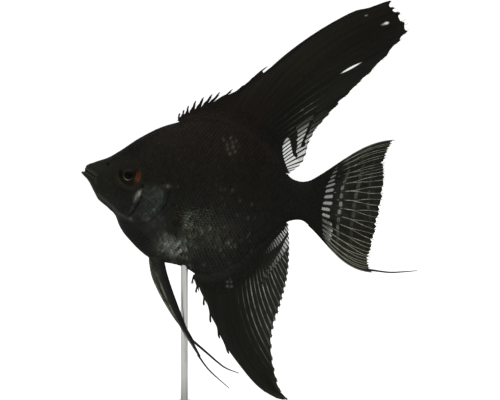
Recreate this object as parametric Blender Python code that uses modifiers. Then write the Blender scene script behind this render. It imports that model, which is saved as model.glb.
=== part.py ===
"""Black veil-finned freshwater angelfish (Pterophyllum scalare), a still, life-size
model held on a plain display stand.

The fish is modelled in its own frame: u runs from the tip of the snout to the root of
the tail fin, w runs up the back, y runs across the body (left side at -y).  All sizes
are millimetres in that frame.  An empty at the tip of the snout tips the whole fish
nose-up and sets it on the stand, whose foot stands on z = 0.
"""

import math

import bmesh
import bpy
import numpy as np

# ---------------------------------------------------------------- driving sizes, mm
STANDARD_LENGTH = 75.5  # tip of the snout to the root of the tail fin
NOSE_UP_DEG = 7.95  # the way the fish carries itself
SNOUT_X, SNOUT_Z = -43.2, 83.5  # where the tip of the snout is held over the stand
GAP = 0.3  # running clearance between neighbouring pieces

EYE_U, EYE_W, EYE_Y = 15.3, 0.9, 4.55
EYE_RADIUS, EYE_DEPTH = 4.15, 2.4
GILL_COVER_THICK = 1.3

FIN_ROOT_THICK, FIN_EDGE_THICK = 1.3, 0.55
FILAMENT_RADIUS = 0.28

BASE_LENGTH, BASE_DEPTH, BASE_HEIGHT, BASE_CORNER = 100.0, 56.0, 5.0, 8.0
ROD_RADIUS, ROD_U = 1.2, 37.2
COLLAR_RADIUS, COLLAR_HEIGHT = 3.2, 2.6

# Body contour stations (u, w): the back, from chin level over the nape to the tail stalk
BACK = [(-0.8, 0.1), (0.5, 1.9), (2.8, 3.3), (7.6, 5.8), (11.6, 9.0), (15.5, 12.5),
        (19.6, 15.6), (23.0, 17.8), (28.0, 20.1), (34.0, 22.1), (40.5, 22.8),
        (45.0, 22.0), (49.1, 20.5), (53.4, 18.1), (57.9, 15.1), (62.3, 11.7),
        (66.5, 8.3), (68.6, 7.0), (71.0, 6.5), (74.3, 7.3), (76.0, 8.4)]
# the lower jaw, throat, breast, belly and the root of the anal fin
BELLY = [(-0.8, -0.8), (2.0, -3.2), (4.2, -6.3), (6.0, -8.7), (7.0, -9.4), (9.9, -11.3),
         (12.5, -13.6), (13.6, -15.7), (15.3, -18.0), (18.1, -20.6), (21.1, -23.0),
         (25.0, -25.3), (30.0, -26.2), (35.0, -26.5), (38.5, -27.4), (41.0, -28.6),
         (45.3, -28.9), (49.8, -27.2), (54.0, -24.3), (58.2, -20.4), (62.2, -15.6),
         (65.8, -10.8), (68.6, -7.6), (71.0, -6.5), (73.9, -6.4), (76.0, -7.6)]
# half the body's thickness
HALF_WIDTH = [(-0.8, 1.0), (0.5, 1.9), (3.0, 3.0), (7.0, 4.2), (11.0, 5.3), (15.5, 6.2),
              (20.0, 6.8), (25.0, 7.2), (30.0, 7.25), (36.0, 6.9), (44.0, 6.0),
              (52.0, 4.8), (60.0, 3.5), (66.0, 2.6), (71.0, 2.0), (76.0, 1.4)]
# how far up the section its widest level lies, as a share of the depth
LEVEL = [(-0.8, 0.5), (8.0, 0.58), (16.0, 0.55), (28.0, 0.5), (50.0, 0.52), (76.0, 0.5)]
# sharpness of the section towards the back and towards the belly (1 is an ellipse)
KEEL = [(-0.8, 1.0, 1.0), (6.0, 1.05, 1.2), (15.0, 1.2, 1.35), (28.0, 1.3, 1.2),
        (40.0, 1.35, 1.15), (50.0, 1.4, 1.4), (66.0, 1.15, 1.2), (76.0, 1.0, 1.0)]

# Rear edge of the gill cover, carried up over the nape and down across the throat
GILL_SLIT = [(23.6, 22.0), (25.4, 14.0), (27.0, 7.0), (28.5, 2.0), (29.0, -2.0),
             (28.5, -6.0), (27.0, -9.8), (24.8, -12.7), (21.5, -14.5), (17.5, -14.9),
             (13.6, -14.3), (10.0, -15.4)]
# The gill cover's front edge; its rear runs on past the slit
GILL_COVER = [(20.6, 0.2), (24.0, 2.2), (28.0, 2.2), (32.0, 2.0), (32.0, -17.0),
              (14.6, -17.0), (16.2, -12.2), (18.6, -7.8), (20.2, -3.5)]
# The open mouth, with the air in front of the upper lip
MOUTH = [(-4.0, 3.4), (0.34, 3.4), (0.40, 1.9), (0.62, 0.5), (4.0, -1.1), (4.0, -1.5),
         (0.65, -0.05), (-0.5, -0.12), (-4.0, -0.1)]
JAW_ANGLE = [(3.7, -1.3), (4.9, -4.6), (6.3, -9.2), (6.9, -12.0)]
STALK_CUT = [(66.4, 12.0), (67.4, 4.0), (67.6, -4.0), (66.8, -12.0)]

# ---- fins.  Rays are numbered from the front; each table gives a place by ray number.
DORSAL_SPINES, DORSAL_RAYS = 12, 37
DORSAL_ROOT = [(1, 28.7), (12, 45.8), (13, 47.0), (37, 66.6)]  # ray, u along the back
DORSAL_TIP = [(1, 28.7, 22.5), (2, 29.9, 23.8), (3, 31.2, 25.4), (4, 33.4, 27.3),
              (5, 35.8, 28.8), (6, 38.5, 30.2), (7, 40.9, 31.2), (8, 44.9, 32.7),
              (9, 48.4, 34.6), (10, 51.3, 37.8), (11, 55.3, 42.6), (12, 58.2, 43.9),
              (12.25, 63.6, 49.6), (12.5, 68.2, 54.3), (12.75, 73.8, 59.2), (13, 79.7, 63.7),
              (13.5, 86.3, 66.7), (14, 92.3, 69.7), (14.5, 93.1, 68.5), (16, 96.0, 66.6),
              (18, 99.9, 61.8), (20, 97.0, 56.4), (22, 91.4, 48.1), (25, 84.1, 38.9),
              (28, 78.0, 30.4), (31, 73.5, 23.2), (33, 72.4, 18.8), (35, 71.0, 12.8),
              (37, 67.4, 8.7)]
DORSAL_BOW = [(1, 0.05), (8, 0.09), (12, 0.11), (13, 0.11), (14, 0.13), (18, 0.085),
              (22, 0.06), (28, 0.04), (37, 0.0)]
DORSAL_NOTCH = [(1, 0.8), (4, 2.1), (7, 2.2), (8, 0.9), (9, 0.35), (10, 0.6), (12, 0.0),
                (13, 0.3), (37, 0.3)]

ANAL_SPINES, ANAL_RAYS = 6, 32
ANAL_ROOT = [(1, 40.8), (6, 48.8), (7, 50.2), (32, 68.7)]
ANAL_TIP = [(1, 41.0, -31.8), (2, 43.1, -34.3), (3, 46.3, -38.1), (4, 49.3, -43.4),
            (5, 52.9, -48.1), (6, 56.3, -52.9), (6.25, 60.2, -56.8), (6.5, 64.9, -61.1),
            (6.75, 68.2, -63.4), (7, 71.6, -64.8), (8, 76.9, -65.4), (9, 74.8, -63.3),
            (11, 72.3, -58.4), (13, 70.4, -53.1), (15, 69.2, -47.2), (17, 69.2, -42.5),
            (20, 70.4, -35.0), (24, 71.4, -25.3), (28, 70.7, -15.8), (32, 69.2, -8.4)]
ANAL_BOW = [(1, 0.04), (6, 0.15), (7, 0.17), (8, 0.19), (10, 0.15), (14, 0.10),
            (20, 0.065), (32, 0.0)]
ANAL_NOTCH = [(1, 0.9), (2, 1.0), (4, 0.8), (5, 0.6), (6, 0.1), (7, 0.3), (32, 0.3)]

CAUDAL_RAYS = 17
CAUDAL_ROOT = [(1, 75.5, 8.0), (17, 75.5, -7.4)]
CAUDAL_TIP = [(1, 100.1, 24.3), (2, 98.9, 22.0), (3, 98.3, 19.8), (5, 98.0, 15.9),
              (7, 98.6, 11.5), (9, 98.8, 4.4), (11, 98.4, -1.8), (13, 97.9, -8.2),
              (15, 97.4, -14.0), (16.3, 97.8, -18.2), (17, 98.8, -20.0)]
CAUDAL_BOW = [(1, 0.02, 0.148), (4, 0.02, 0.07), (9, 0.0, 0.0), (14, -0.02, -0.08),
              (17, -0.03, -0.215)]  # bow near the root and near the tip
CAUDAL_TRAIL = [(95.6, -19.3), (99.8, -19.3), (104.6, -19.2), (109.2, -18.4),
                   (113.7, -17.4)]

# Pelvic fins: the front edge and the rear edge from root to tip, and how far the root and
# the tip stand off the middle of the body
PELVIC_LEFT = {"front": [(26.4, -26.2), (30.0, -33.1), (34.3, -40.5), (40.0, -48.1), (46.2, -55.3)],
               "rear": [(30.7, -26.8), (33.2, -32.3), (37.0, -39.5), (41.6, -47.5), (46.7, -54.9)],
               "trail": [(45.6, -54.5), (49.3, -58.3), (52.7, -60.8), (57.4, -63.8)],
               "y": (-1.8, -4.6)}
PELVIC_RIGHT = {"front": [(25.3, -26.2), (26.9, -31.6), (30.6, -37.6), (36.3, -44.6), (43.2, -51.1)],
                "rear": [(29.6, -26.8), (31.5, -32.0), (34.9, -38.0), (39.0, -44.5), (43.6, -50.7)],
                "trail": [(42.7, -50.5), (48.3, -54.1), (52.1, -56.6), (55.4, -58.4), (59.9, -59.5)],
                "y": (1.8, 4.4)}

PECTORAL_RAYS = 12
PECTORAL_ROOT = [(1, 30.2, -7.6), (6, 31.2, -10.0), (12, 31.4, -12.6)]
PECTORAL_TIP = [(1, 41.2, -6.9), (3, 43.9, -7.0), (6, 44.1, -11.9), (9, 41.0, -16.6),
                (12, 35.8, -17.8)]
PECTORAL_SPREAD_DEG = 20.0  # how far the pectoral fins stand off the flank


# ---------------------------------------------------------------- helpers
def smooth(table, x):
    """A smooth curve through a table's rows (x, value, ...), by cubic Hermite spans."""
    t = np.asarray(table, float)
    xs, ys = t[:, 0], t[:, 1:]
    x = np.clip(np.asarray(x, float), xs[0], xs[-1])
    i = np.clip(np.searchsorted(xs, x, side="right") - 1, 0, len(xs) - 2)
    h = np.diff(xs)
    d = np.diff(ys, axis=0) / h[:, None]
    m = np.empty_like(ys)
    m[0], m[-1] = d[0], d[-1]
    m[1:-1] = (d[:-1] * h[1:, None] + d[1:] * h[:-1, None]) / (h[:-1] + h[1:])[:, None]
    f = ((x - xs[i]) / h[i])[..., None]
    hi = h[i][..., None]
    out = ((1 + 2 * f) * (1 - f) ** 2 * ys[i] + f * (1 - f) ** 2 * hi * m[i]
           + f * f * (3 - 2 * f) * ys[i + 1] + f * f * (f - 1) * hi * m[i + 1])
    return out[..., 0] if ys.shape[1] == 1 else out


def path_curve(points, count):
    """A smooth curve through a few points, as count points along it."""
    table = [(k, *p) for k, p in enumerate(points)]
    return smooth(table, np.linspace(0, len(points) - 1, count))


def half_width_at(u, w):
    """Half the body's thickness at a place on its side."""
    back, belly = smooth(BACK, u), smooth(BELLY, u)
    level = belly + smooth(LEVEL, u) * (back - belly)
    keel = smooth(KEEL, u)
    up = w >= level
    tau = np.where(up, (w - level) / (back - level), (level - w) / (level - belly))
    q = np.where(up, keel[..., 0], keel[..., 1])
    return smooth(HALF_WIDTH, u) * np.clip(1 - tau * tau, 0, 1) ** (q / 2)


def body_ring(u, around, inset=0.0):
    """The body's cross-section at u: points from the left side over the back and round."""
    back, belly = smooth(BACK, u) - inset, smooth(BELLY, u) + inset
    wide = smooth(HALF_WIDTH, u) - inset
    level = belly + smooth(LEVEL, u) * (back - belly)
    top, bottom = smooth(KEEL, u)
    a = np.arange(around) * 2 * math.pi / around
    c, s = np.cos(a), np.sin(a)
    q = np.where(s >= 0, top, bottom)
    y = -wide * np.sign(c) * np.abs(c) ** q
    w = level + np.where(s >= 0, back - level, level - belly) * s
    return [(u, float(yy), float(ww)) for yy, ww in zip(y, w)]


def material(name, colour, roughness, metallic=0.0):
    m = bpy.data.materials.new(name)
    m.use_nodes = True
    shader = m.node_tree.nodes["Principled BSDF"]
    shader.inputs["Base Color"].default_value = (*colour, 1.0)
    shader.inputs["Roughness"].default_value = roughness
    shader.inputs["Metallic"].default_value = metallic
    m.diffuse_color = (*colour, 1.0)
    return m


def new_object(name, mesh, mat=None, parent=None, smooth_angle=40):
    obj = bpy.data.objects.new(name, mesh)
    model.objects.link(obj)
    if mat is not None:
        obj.data.materials.append(mat)
    if parent is not None:
        obj.parent = parent
    if isinstance(mesh, bpy.types.Mesh):
        mesh.shade_smooth()
        mesh.set_sharp_from_angle(angle=math.radians(smooth_angle))
    return obj


def loft(name, rings):
    """A closed solid lofted through rings of equal count, capped at both ends."""
    bm = bmesh.new()
    loops = [[bm.verts.new([v * 0.001 for v in p]) for p in ring] for ring in rings]
    n = len(rings[0])
    for a, b in zip(loops, loops[1:]):
        for i in range(n):
            bm.faces.new((a[i], a[(i + 1) % n], b[(i + 1) % n], b[i]))
    bm.faces.new(list(reversed(loops[0])))
    bm.faces.new(loops[-1])
    bmesh.ops.recalc_face_normals(bm, faces=bm.faces)
    mesh = bpy.data.meshes.new(name)
    bm.to_mesh(mesh)
    bm.free()
    return new_object(name, mesh)


def prism(name, outline, y0, y1):
    """A flat outline in the side view, extruded across the body from y0 to y1."""
    bm = bmesh.new()
    face = bm.faces.new([bm.verts.new((u * 0.001, y0 * 0.001, w * 0.001)) for u, w in outline])
    out = bmesh.ops.extrude_face_region(bm, geom=[face])
    verts = [v for v in out["geom"] if isinstance(v, bmesh.types.BMVert)]
    bmesh.ops.translate(bm, vec=(0, (y1 - y0) * 0.001, 0), verts=verts)
    bmesh.ops.triangulate(bm, faces=[f for f in bm.faces if len(f.verts) > 4])
    bmesh.ops.recalc_face_normals(bm, faces=bm.faces)
    mesh = bpy.data.meshes.new(name)
    bm.to_mesh(mesh)
    bm.free()
    return new_object(name, mesh)


def thin_wall(name, points, thickness=GAP):
    """A thin wall that follows a path in the side view, to part the body with."""
    p = np.asarray(points, float)
    along = np.gradient(p, axis=0)
    along /= np.linalg.norm(along, axis=1)[:, None]
    side = np.stack([-along[:, 1], along[:, 0]], axis=1) * thickness / 2
    outline = np.concatenate([p + side, (p - side)[::-1]])
    return prism(name, [tuple(q) for q in outline], -14.0, 14.0)


def mesh_of(obj):
    """An object's shape with its modifiers or its bevel applied, as a mesh."""
    graph = bpy.context.evaluated_depsgraph_get()
    return bpy.data.meshes.new_from_object(obj.evaluated_get(graph))


def boolean(obj, cutter, operation="DIFFERENCE", keep_cutter=False):
    """Applies one exact boolean to obj."""
    m = obj.modifiers.new("cut", "BOOLEAN")
    m.operation, m.solver, m.object = operation, "EXACT", cutter
    mesh = mesh_of(obj)
    obj.modifiers.clear()
    old, obj.data = obj.data, mesh
    bpy.data.meshes.remove(old)
    if not keep_cutter:
        bpy.data.objects.remove(cutter)
    return obj


def loose_parts(obj, names, key):
    """Splits an object into its separate bodies, sorted by key of their centres."""
    bm = bmesh.new()
    bm.from_mesh(obj.data)
    seen, groups = set(), []
    for v in bm.verts:
        if v in seen:
            continue
        stack, group = [v], []
        seen.add(v)
        while stack:
            x = stack.pop()
            group.append(x)
            for e in x.link_edges:
                y = e.other_vert(x)
                if y not in seen:
                    seen.add(y)
                    stack.append(y)
        groups.append(group)
    groups = sorted((g for g in groups if len(g) > 12), key=len)[-len(names):]
    centres = [sum((v.co for v in g), g[0].co * 0) / len(g) for g in groups]
    order = sorted(range(len(groups)), key=lambda k: key(centres[k]))
    sets = [set(v.index for v in groups[k]) for k in order]
    bm.free()
    made = []
    for name, keep in zip(names, sets):
        part = bmesh.new()
        part.from_mesh(obj.data)
        part.verts.ensure_lookup_table()
        bmesh.ops.delete(part, geom=[v for v in part.verts if v.index not in keep], context="VERTS")
        mesh = bpy.data.meshes.new(name)
        part.to_mesh(mesh)
        part.free()
        made.append(new_object(name, mesh))
    bpy.data.objects.remove(obj)
    return made


def finish(obj, name, mat, parent):
    obj.name = name
    obj.data.name = name
    obj.data.materials.clear()
    obj.data.materials.append(mat)
    obj.data.shade_smooth()
    obj.data.set_sharp_from_angle(angle=math.radians(40))
    obj.parent = parent
    return obj


# ---------------------------------------------------------------- fin surfaces
def ray_point(root, tip, bow, side, r):
    """A place r of the way along a fin ray, which bows near its root and near its tip."""
    chord = tip - root
    across = np.array([-chord[1], chord[0]]) * side
    near_root, near_tip = np.broadcast_to(bow, 2)
    return (root + chord * r + across * 3 * r * (1 - r) * ((1 - r) * near_root + r * near_tip))


def edge_share(ray, notch, length, spines):
    """How far a column reaches: a spine's tip stands clear and the web behind it is lower."""
    f = ray - math.floor(ray + 1e-9)
    depth = float(smooth(notch, math.floor(ray + 1e-9)))
    if f < 1e-6:
        return 1.0
    if ray < spines:
        return 1 - depth * (1 - f) ** 1.2 / length
    return 1 - depth * math.sin(math.pi * f) / length


def dorsal_point(ray, r):
    u = float(smooth(DORSAL_ROOT, ray))
    root = np.array([u, float(smooth(BACK, u)) + GAP])
    tip = smooth(DORSAL_TIP, ray)
    length = np.linalg.norm(tip - root)
    r = r * edge_share(ray, DORSAL_NOTCH, length, DORSAL_SPINES)
    p = ray_point(root, tip, smooth(DORSAL_BOW, ray), 1, r)
    y = r * r * length / 60 * 2.6 * math.sin(0.2 * ray - 1.7 * r - 1.0)
    return (p[0], y, p[1])


def anal_point(ray, r):
    u = float(smooth(ANAL_ROOT, ray))
    root = np.array([u, float(smooth(BELLY, u)) - GAP])
    tip = smooth(ANAL_TIP, ray)
    length = np.linalg.norm(tip - root)
    r = r * edge_share(ray, ANAL_NOTCH, length, ANAL_SPINES)
    p = ray_point(root, tip, smooth(ANAL_BOW, ray), -1, r)
    y = r * r * length / 45 * 2.0 * math.sin(0.22 * ray + 1.6 * r + 0.6)
    return (p[0], y, p[1])


def caudal_point(ray, r):
    root = smooth(CAUDAL_ROOT, ray) + np.array([GAP, 0.0])
    tip = smooth(CAUDAL_TIP, ray)
    length = np.linalg.norm(tip - root)
    r = r * (1 - 0.3 * (ray % 1.0 > 0.25) / length)  # the web falls back a little between rays
    p = ray_point(root, tip, smooth(CAUDAL_BOW, ray), 1, r)
    y = r * r * 1.5 * math.sin(0.42 * ray + 1.2 * r - 1.4)
    return (p[0], y, p[1])


def pectoral_point(ray, r, side):
    root = smooth(PECTORAL_ROOT, ray)
    tip = smooth(PECTORAL_TIP, ray)
    p = ray_point(root, tip, 0.03, 1, r)
    off = np.linalg.norm(p - root) * math.tan(math.radians(PECTORAL_SPREAD_DEG))
    y = float(half_width_at(root[0], root[1])) + GAP + 0.45 + off
    return (p[0] + 0.2, side * y, p[1])


def pelvic_point(fin, f, r):
    """f is 0 at the front edge and 1 at the rear one."""
    front, rear = (smooth([(k / 4, *p) for k, p in enumerate(fin[edge])], r)
                   for edge in ("front", "rear"))
    p = front * (1 - f) + rear * f
    y0, y1 = fin["y"]
    y = y0 + (y1 - y0) * r + math.copysign(0.35, y0) * math.sin(math.pi * f) * (1 - r)
    return (p[0], y, p[1])


def fin_solid(name, point, columns, rows, mat, parent, root_thick=FIN_ROOT_THICK,
              edge_thick=FIN_EDGE_THICK):
    """A fin web drawn through its rays on a grid, given its thickness with Solidify."""
    bm = bmesh.new()
    bmesh.ops.create_grid(bm, x_segments=len(columns) - 1, y_segments=rows, size=0.5)
    bm.verts.ensure_lookup_table()
    weights = {}
    for v in bm.verts:
        i = round((v.co.x + 0.5) * (len(columns) - 1))
        r = round((v.co.y + 0.5) * rows) / rows
        weights[v.index] = (1 - r) ** 1.4
        v.co = [c * 0.001 for c in point(columns[i], r)]
    mesh = bpy.data.meshes.new(name)
    bm.to_mesh(mesh)
    bm.free()
    obj = new_object(name, mesh, mat, parent)
    group = obj.vertex_groups.new(name="root")
    for index, weight in weights.items():
        group.add([index], weight, "REPLACE")
    m = obj.modifiers.new("thickness", "SOLIDIFY")
    m.thickness, m.offset = root_thick * 0.001, 0.0
    m.use_even_offset = False
    m.vertex_group = group.name
    m.thickness_vertex_group = edge_thick / root_thick
    return obj


def add_trail(fin, points, y0, y1):
    """Draws a fin's longest ray out into a fine trailing thread, a tapering tube."""
    curve = bpy.data.curves.new("trail", "CURVE")
    curve.dimensions = "3D"
    curve.bevel_depth = FILAMENT_RADIUS * 0.001
    curve.bevel_resolution = 1
    curve.use_fill_caps = True
    p = path_curve(points, 12)
    spline = curve.splines.new("POLY")
    spline.points.add(len(p) - 1)
    for k, (u, w) in enumerate(p):
        t = k / (len(p) - 1)
        spline.points[k].co = (u * 0.001, (y0 + (y1 - y0) * t) * 0.001, w * 0.001, 1.0)
        spline.points[k].radius = 1.15 - 0.2 * t
    drawn = new_object("trail", curve)
    tube = new_object("trail_tube", mesh_of(drawn))
    bpy.data.objects.remove(drawn)
    bm = bmesh.new()
    bm.from_mesh(tube.data)
    bmesh.ops.remove_doubles(bm, verts=bm.verts, dist=1e-6)
    bmesh.ops.recalc_face_normals(bm, faces=bm.faces)
    bm.to_mesh(tube.data)
    bm.free()
    parent, fin.parent = fin.parent, None
    boolean(fin, tube, "UNION")
    fin.parent = parent


# ---------------------------------------------------------------- build
for old in list(bpy.data.objects):
    bpy.data.objects.remove(old)

model = bpy.data.collections.new("black_angelfish_on_stand")
bpy.context.scene.collection.children.link(model)

skin = material("black_skin", (0.010, 0.0095, 0.0078), 0.45)
gill = material("gill_cover_skin", (0.030, 0.034, 0.030), 0.4)
web = material("black_fin_web", (0.011, 0.010, 0.0085), 0.5)
clear_web = material("clear_fin_web", (0.30, 0.31, 0.28), 0.35)
eye_mat = material("dark_eye", (0.012, 0.009, 0.007), 0.08)
wood = material("dark_stained_wood", (0.045, 0.028, 0.018), 0.42)
steel = material("brushed_steel", (0.56, 0.56, 0.55), 0.28, 1.0)

fish = bpy.data.objects.new("fish", None)
model.objects.link(fish)

# ---- the body, whole, then parted with thin cuts
stations = np.concatenate([np.linspace(-0.8, 7.0, 9), np.linspace(8.6, 16.0, 6),
                           np.linspace(18.0, STANDARD_LENGTH, 22)])
AROUND = 24
body = loft("body", [body_ring(u, AROUND) for u in stations])
cheek = [u for u in stations if 9 < u < 45]
inner = loft("inner", [body_ring(u, AROUND, GILL_COVER_THICK) for u in cheek])
inner_wall = loft("inner_wall", [body_ring(u, AROUND, GILL_COVER_THICK + GAP) for u in cheek])

boolean(body, thin_wall("slit", path_curve(GILL_SLIT, 20)))
head, rest = loose_parts(body, ["head", "rest"], lambda c: c.x)

boolean(rest, thin_wall("stalk_cut", path_curve(STALK_CUT, 5)))
trunk, stalk = loose_parts(rest, ["trunk", "tail_stalk"], lambda c: c.x)

# gill covers: plates that follow the cheek, over a pocket in the head
covers = {}
for side, y0, y1 in (("left", -14.0, -0.6), ("right", 0.6, 14.0)):
    plate = head.copy()
    plate.data = head.data.copy()
    model.objects.link(plate)
    boolean(plate, prism("region", GILL_COVER, y0, y1), "INTERSECT")
    boolean(plate, inner, keep_cutter=True)
    covers[side] = plate
for side, y0, y1 in (("left", -14.0, -0.3), ("right", 0.3, 14.0)):
    grown = [(u + (-GAP if u < 30 else 0), w + (GAP if w > -1 else 0)) for u, w in GILL_COVER]
    pocket = prism("pocket", grown, y0, y1)
    boolean(pocket, inner_wall, keep_cutter=True)
    boolean(head, pocket)
bpy.data.objects.remove(inner)
bpy.data.objects.remove(inner_wall)

# eyes, and their sockets
eyes = {}
for side, sign in (("left", -1), ("right", 1)):
    for part, grow in (("eye", 0.0), ("socket", GAP)):
        bpy.ops.mesh.primitive_uv_sphere_add(segments=18, ring_count=10, radius=0.001)
        ball = bpy.context.object
        for c in list(ball.users_collection):
            c.objects.unlink(ball)
        model.objects.link(ball)
        size = (EYE_RADIUS + grow, EYE_RADIUS + grow, EYE_DEPTH + grow)
        for v in ball.data.vertices:
            x, y, z = v.co
            v.co = (x * size[0] + EYE_U * 0.001, -z * size[2] + sign * EYE_Y * 0.001,
                    y * size[1] + EYE_W * 0.001)
        if part == "eye":
            eyes[side] = ball
        else:
            boolean(head, ball)

# mouth and lower jaw
boolean(head, prism("mouth", MOUTH, -6.0, 6.0))
boolean(head, thin_wall("jaw_angle", path_curve(JAW_ANGLE, 5)))
jaw, head = loose_parts(head, ["lower_jaw", "head"], lambda c: c.x)

# the socket for the rod in the belly
rod_w = float(smooth(BELLY, ROD_U))
tilt = math.radians(NOSE_UP_DEG)
bpy.ops.mesh.primitive_cylinder_add(vertices=20, radius=(ROD_RADIUS + GAP) * 0.001, depth=0.0106)
hole = bpy.context.object
hole.rotation_euler = (0, -tilt, 0)
hole.location = ((ROD_U + 2.0 * math.sin(tilt)) * 0.001, 0, (rod_w - 2.0 * math.cos(tilt)) * 0.001)
bpy.context.view_layer.update()
boolean(trunk, hole)

for obj, name, mat in ((head, "head", skin), (jaw, "lower_jaw", skin), (trunk, "trunk", skin),
                       (stalk, "tail_stalk", skin), (covers["left"], "gill_cover_left", gill),
                       (covers["right"], "gill_cover_right", gill),
                       (eyes["left"], "eye_left", eye_mat), (eyes["right"], "eye_right", eye_mat)):
    finish(obj, name, mat, fish)

# ---- fins
spiny = [k + f for k in range(1, DORSAL_SPINES) for f in (0.0, 0.14)]
lead = [12.0, 12.25, 12.5, 12.75]
soft = list(np.arange(13.0, 15.9, 0.5)) + list(np.arange(16.0, 37.01, 1.0))
dorsal = fin_solid("dorsal_fin", dorsal_point, spiny + lead + soft, 6, web, fish)

spiny = [k + f for k in range(1, ANAL_SPINES) for f in (0.0, 0.14, 0.57)]
lead = [6.0, 6.25, 6.5, 6.75]
soft = list(np.arange(7.0, 9.9, 0.5)) + list(np.arange(10.0, 32.01, 1.0))
anal = fin_solid("anal_fin", anal_point, spiny + lead + soft, 6, web, fish)

caudal = fin_solid("caudal_fin", caudal_point, list(np.arange(1.0, 17.01, 0.5)), 4, web, fish)
add_trail(caudal, CAUDAL_TRAIL, float(caudal_point(16.6, 0.9)[1]), 2.4)

for side, fin in (("left", PELVIC_LEFT), ("right", PELVIC_RIGHT)):
    obj = fin_solid("pelvic_fin_" + side, lambda f, r, fin=fin: pelvic_point(fin, f, r),
                    [0.0, 0.33, 0.67, 1.0], 9, web, fish, root_thick=1.1, edge_thick=0.55)
    add_trail(obj, fin["trail"], fin["y"][1] * 0.98, fin["y"][1] * 1.35)

for side, sign in (("left", -1), ("right", 1)):
    fin_solid("pectoral_fin_" + side, lambda ray, r, sign=sign: pectoral_point(ray, r, sign),
              list(np.linspace(1, PECTORAL_RAYS, 12)), 4, clear_web, fish,
              root_thick=0.9, edge_thick=0.5)

# ---- pose the fish over its stand
fish.rotation_euler = (0, tilt, 0)
fish.location = (SNOUT_X * 0.001, 0, SNOUT_Z * 0.001)

# ---- the stand
bpy.ops.mesh.primitive_cube_add(size=0.001)
base = bpy.context.object
for v in base.data.vertices:
    v.co = (v.co.x * BASE_LENGTH, v.co.y * BASE_DEPTH, v.co.z * BASE_HEIGHT + BASE_HEIGHT * 0.0005)
bm = bmesh.new()
bm.from_mesh(base.data)
upright = [e for e in bm.edges if abs(e.verts[0].co.z - e.verts[1].co.z) > 0.001]
bmesh.ops.bevel(bm, geom=upright, offset=BASE_CORNER * 0.001, segments=6, profile=0.5, affect="EDGES")
rim = [e for e in bm.edges if min(v.co.z for v in e.verts) > BASE_HEIGHT * 0.00099
       and len({round(f.normal.z, 2) for f in e.link_faces}) == 2]
bmesh.ops.bevel(bm, geom=rim, offset=0.0008, segments=2, profile=0.5, affect="EDGES")
bm.to_mesh(base.data)
bm.free()

rod_x = SNOUT_X + ROD_U * math.cos(tilt) + rod_w * math.sin(tilt)
rod_top = SNOUT_Z - ROD_U * math.sin(tilt) + rod_w * math.cos(tilt) + 3.0
rod_low = BASE_HEIGHT + GAP
bpy.ops.mesh.primitive_cylinder_add(vertices=20, radius=ROD_RADIUS * 0.001,
                                    depth=(rod_top - rod_low) * 0.001)
rod = bpy.context.object
rod.location = (rod_x * 0.001, 0, (rod_top + rod_low) * 0.0005)

# the collar at the foot of the rod, a turned profile that runs down its outer side
r0, r1, h = ROD_RADIUS + GAP, COLLAR_RADIUS, COLLAR_HEIGHT
profile = [(r0, h), (r1 - 0.6, h), (r1, h - 0.6), (r1, 0.0), (r0, 0.0)]
bm = bmesh.new()
verts = [bm.verts.new((x * 0.001, 0, z * 0.001)) for x, z in profile]
for a, b in zip(verts, verts[1:] + verts[:1]):
    bm.edges.new((a, b))
mesh = bpy.data.meshes.new("stand_collar")
bm.to_mesh(mesh)
bm.free()
collar = new_object("stand_collar", mesh, steel)
turn = collar.modifiers.new("turn", "SCREW")
turn.steps = turn.render_steps = 28
turn.use_merge_vertices = True
turn.merge_threshold = 0.00001
collar.location = (rod_x * 0.001, 0, (BASE_HEIGHT + GAP) * 0.001)

for obj, name, mat in ((base, "stand_base", wood), (rod, "stand_rod", steel)):
    for c in list(obj.users_collection):
        c.objects.unlink(obj)
    model.objects.link(obj)
    finish(obj, name, mat, None)
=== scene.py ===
"""The looks of a black, veil-finned freshwater angelfish on its display stand.

The fish is worked out in its own frame, in millimetres: u runs from the tip of the snout
to the root of the tail fin, w runs up the back, y runs across the body (left side at -y).
One skin stands for every node of flesh.  Over it lie the scales, as thin overlapping
plates, and the fin rays.  Every marking, and the painted light and shade among them, is a function
of the place on the body or on the fin, and the skin, the rays and the scales all read the same ones.
"""

import math

import bmesh
import bpy
import numpy as np
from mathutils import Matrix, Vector
from mathutils.kdtree import KDTree

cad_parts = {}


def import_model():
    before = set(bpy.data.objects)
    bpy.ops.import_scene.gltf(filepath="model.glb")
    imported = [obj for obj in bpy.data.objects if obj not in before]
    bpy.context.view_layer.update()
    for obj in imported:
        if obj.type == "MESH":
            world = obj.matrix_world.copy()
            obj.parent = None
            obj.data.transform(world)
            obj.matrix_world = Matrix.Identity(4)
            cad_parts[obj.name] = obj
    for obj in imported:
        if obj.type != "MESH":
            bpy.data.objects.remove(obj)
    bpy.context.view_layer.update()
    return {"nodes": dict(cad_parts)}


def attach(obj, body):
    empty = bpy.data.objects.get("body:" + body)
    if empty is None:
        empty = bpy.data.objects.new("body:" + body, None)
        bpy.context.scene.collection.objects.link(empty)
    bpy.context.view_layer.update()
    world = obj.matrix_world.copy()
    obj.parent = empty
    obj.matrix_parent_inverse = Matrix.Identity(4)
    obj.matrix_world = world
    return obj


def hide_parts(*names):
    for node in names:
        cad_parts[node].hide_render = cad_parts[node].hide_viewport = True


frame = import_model()
rng = np.random.default_rng(7)

# ------------------------------------------------------------------ sizes, mm (as the CAD)
NOSE_UP_DEG = 7.95
SNOUT_X, SNOUT_Z = -43.2, 83.5
GAP = 0.3
EYE_U, EYE_W, EYE_Y = 15.3, 0.9, 4.55
EYE_RADIUS, EYE_DEPTH = 4.15, 2.4
BODY_END = 77.2
SCALE_DEPTH = 0.2  # how far the skin lies inside the CAD body, under the scales

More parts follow.
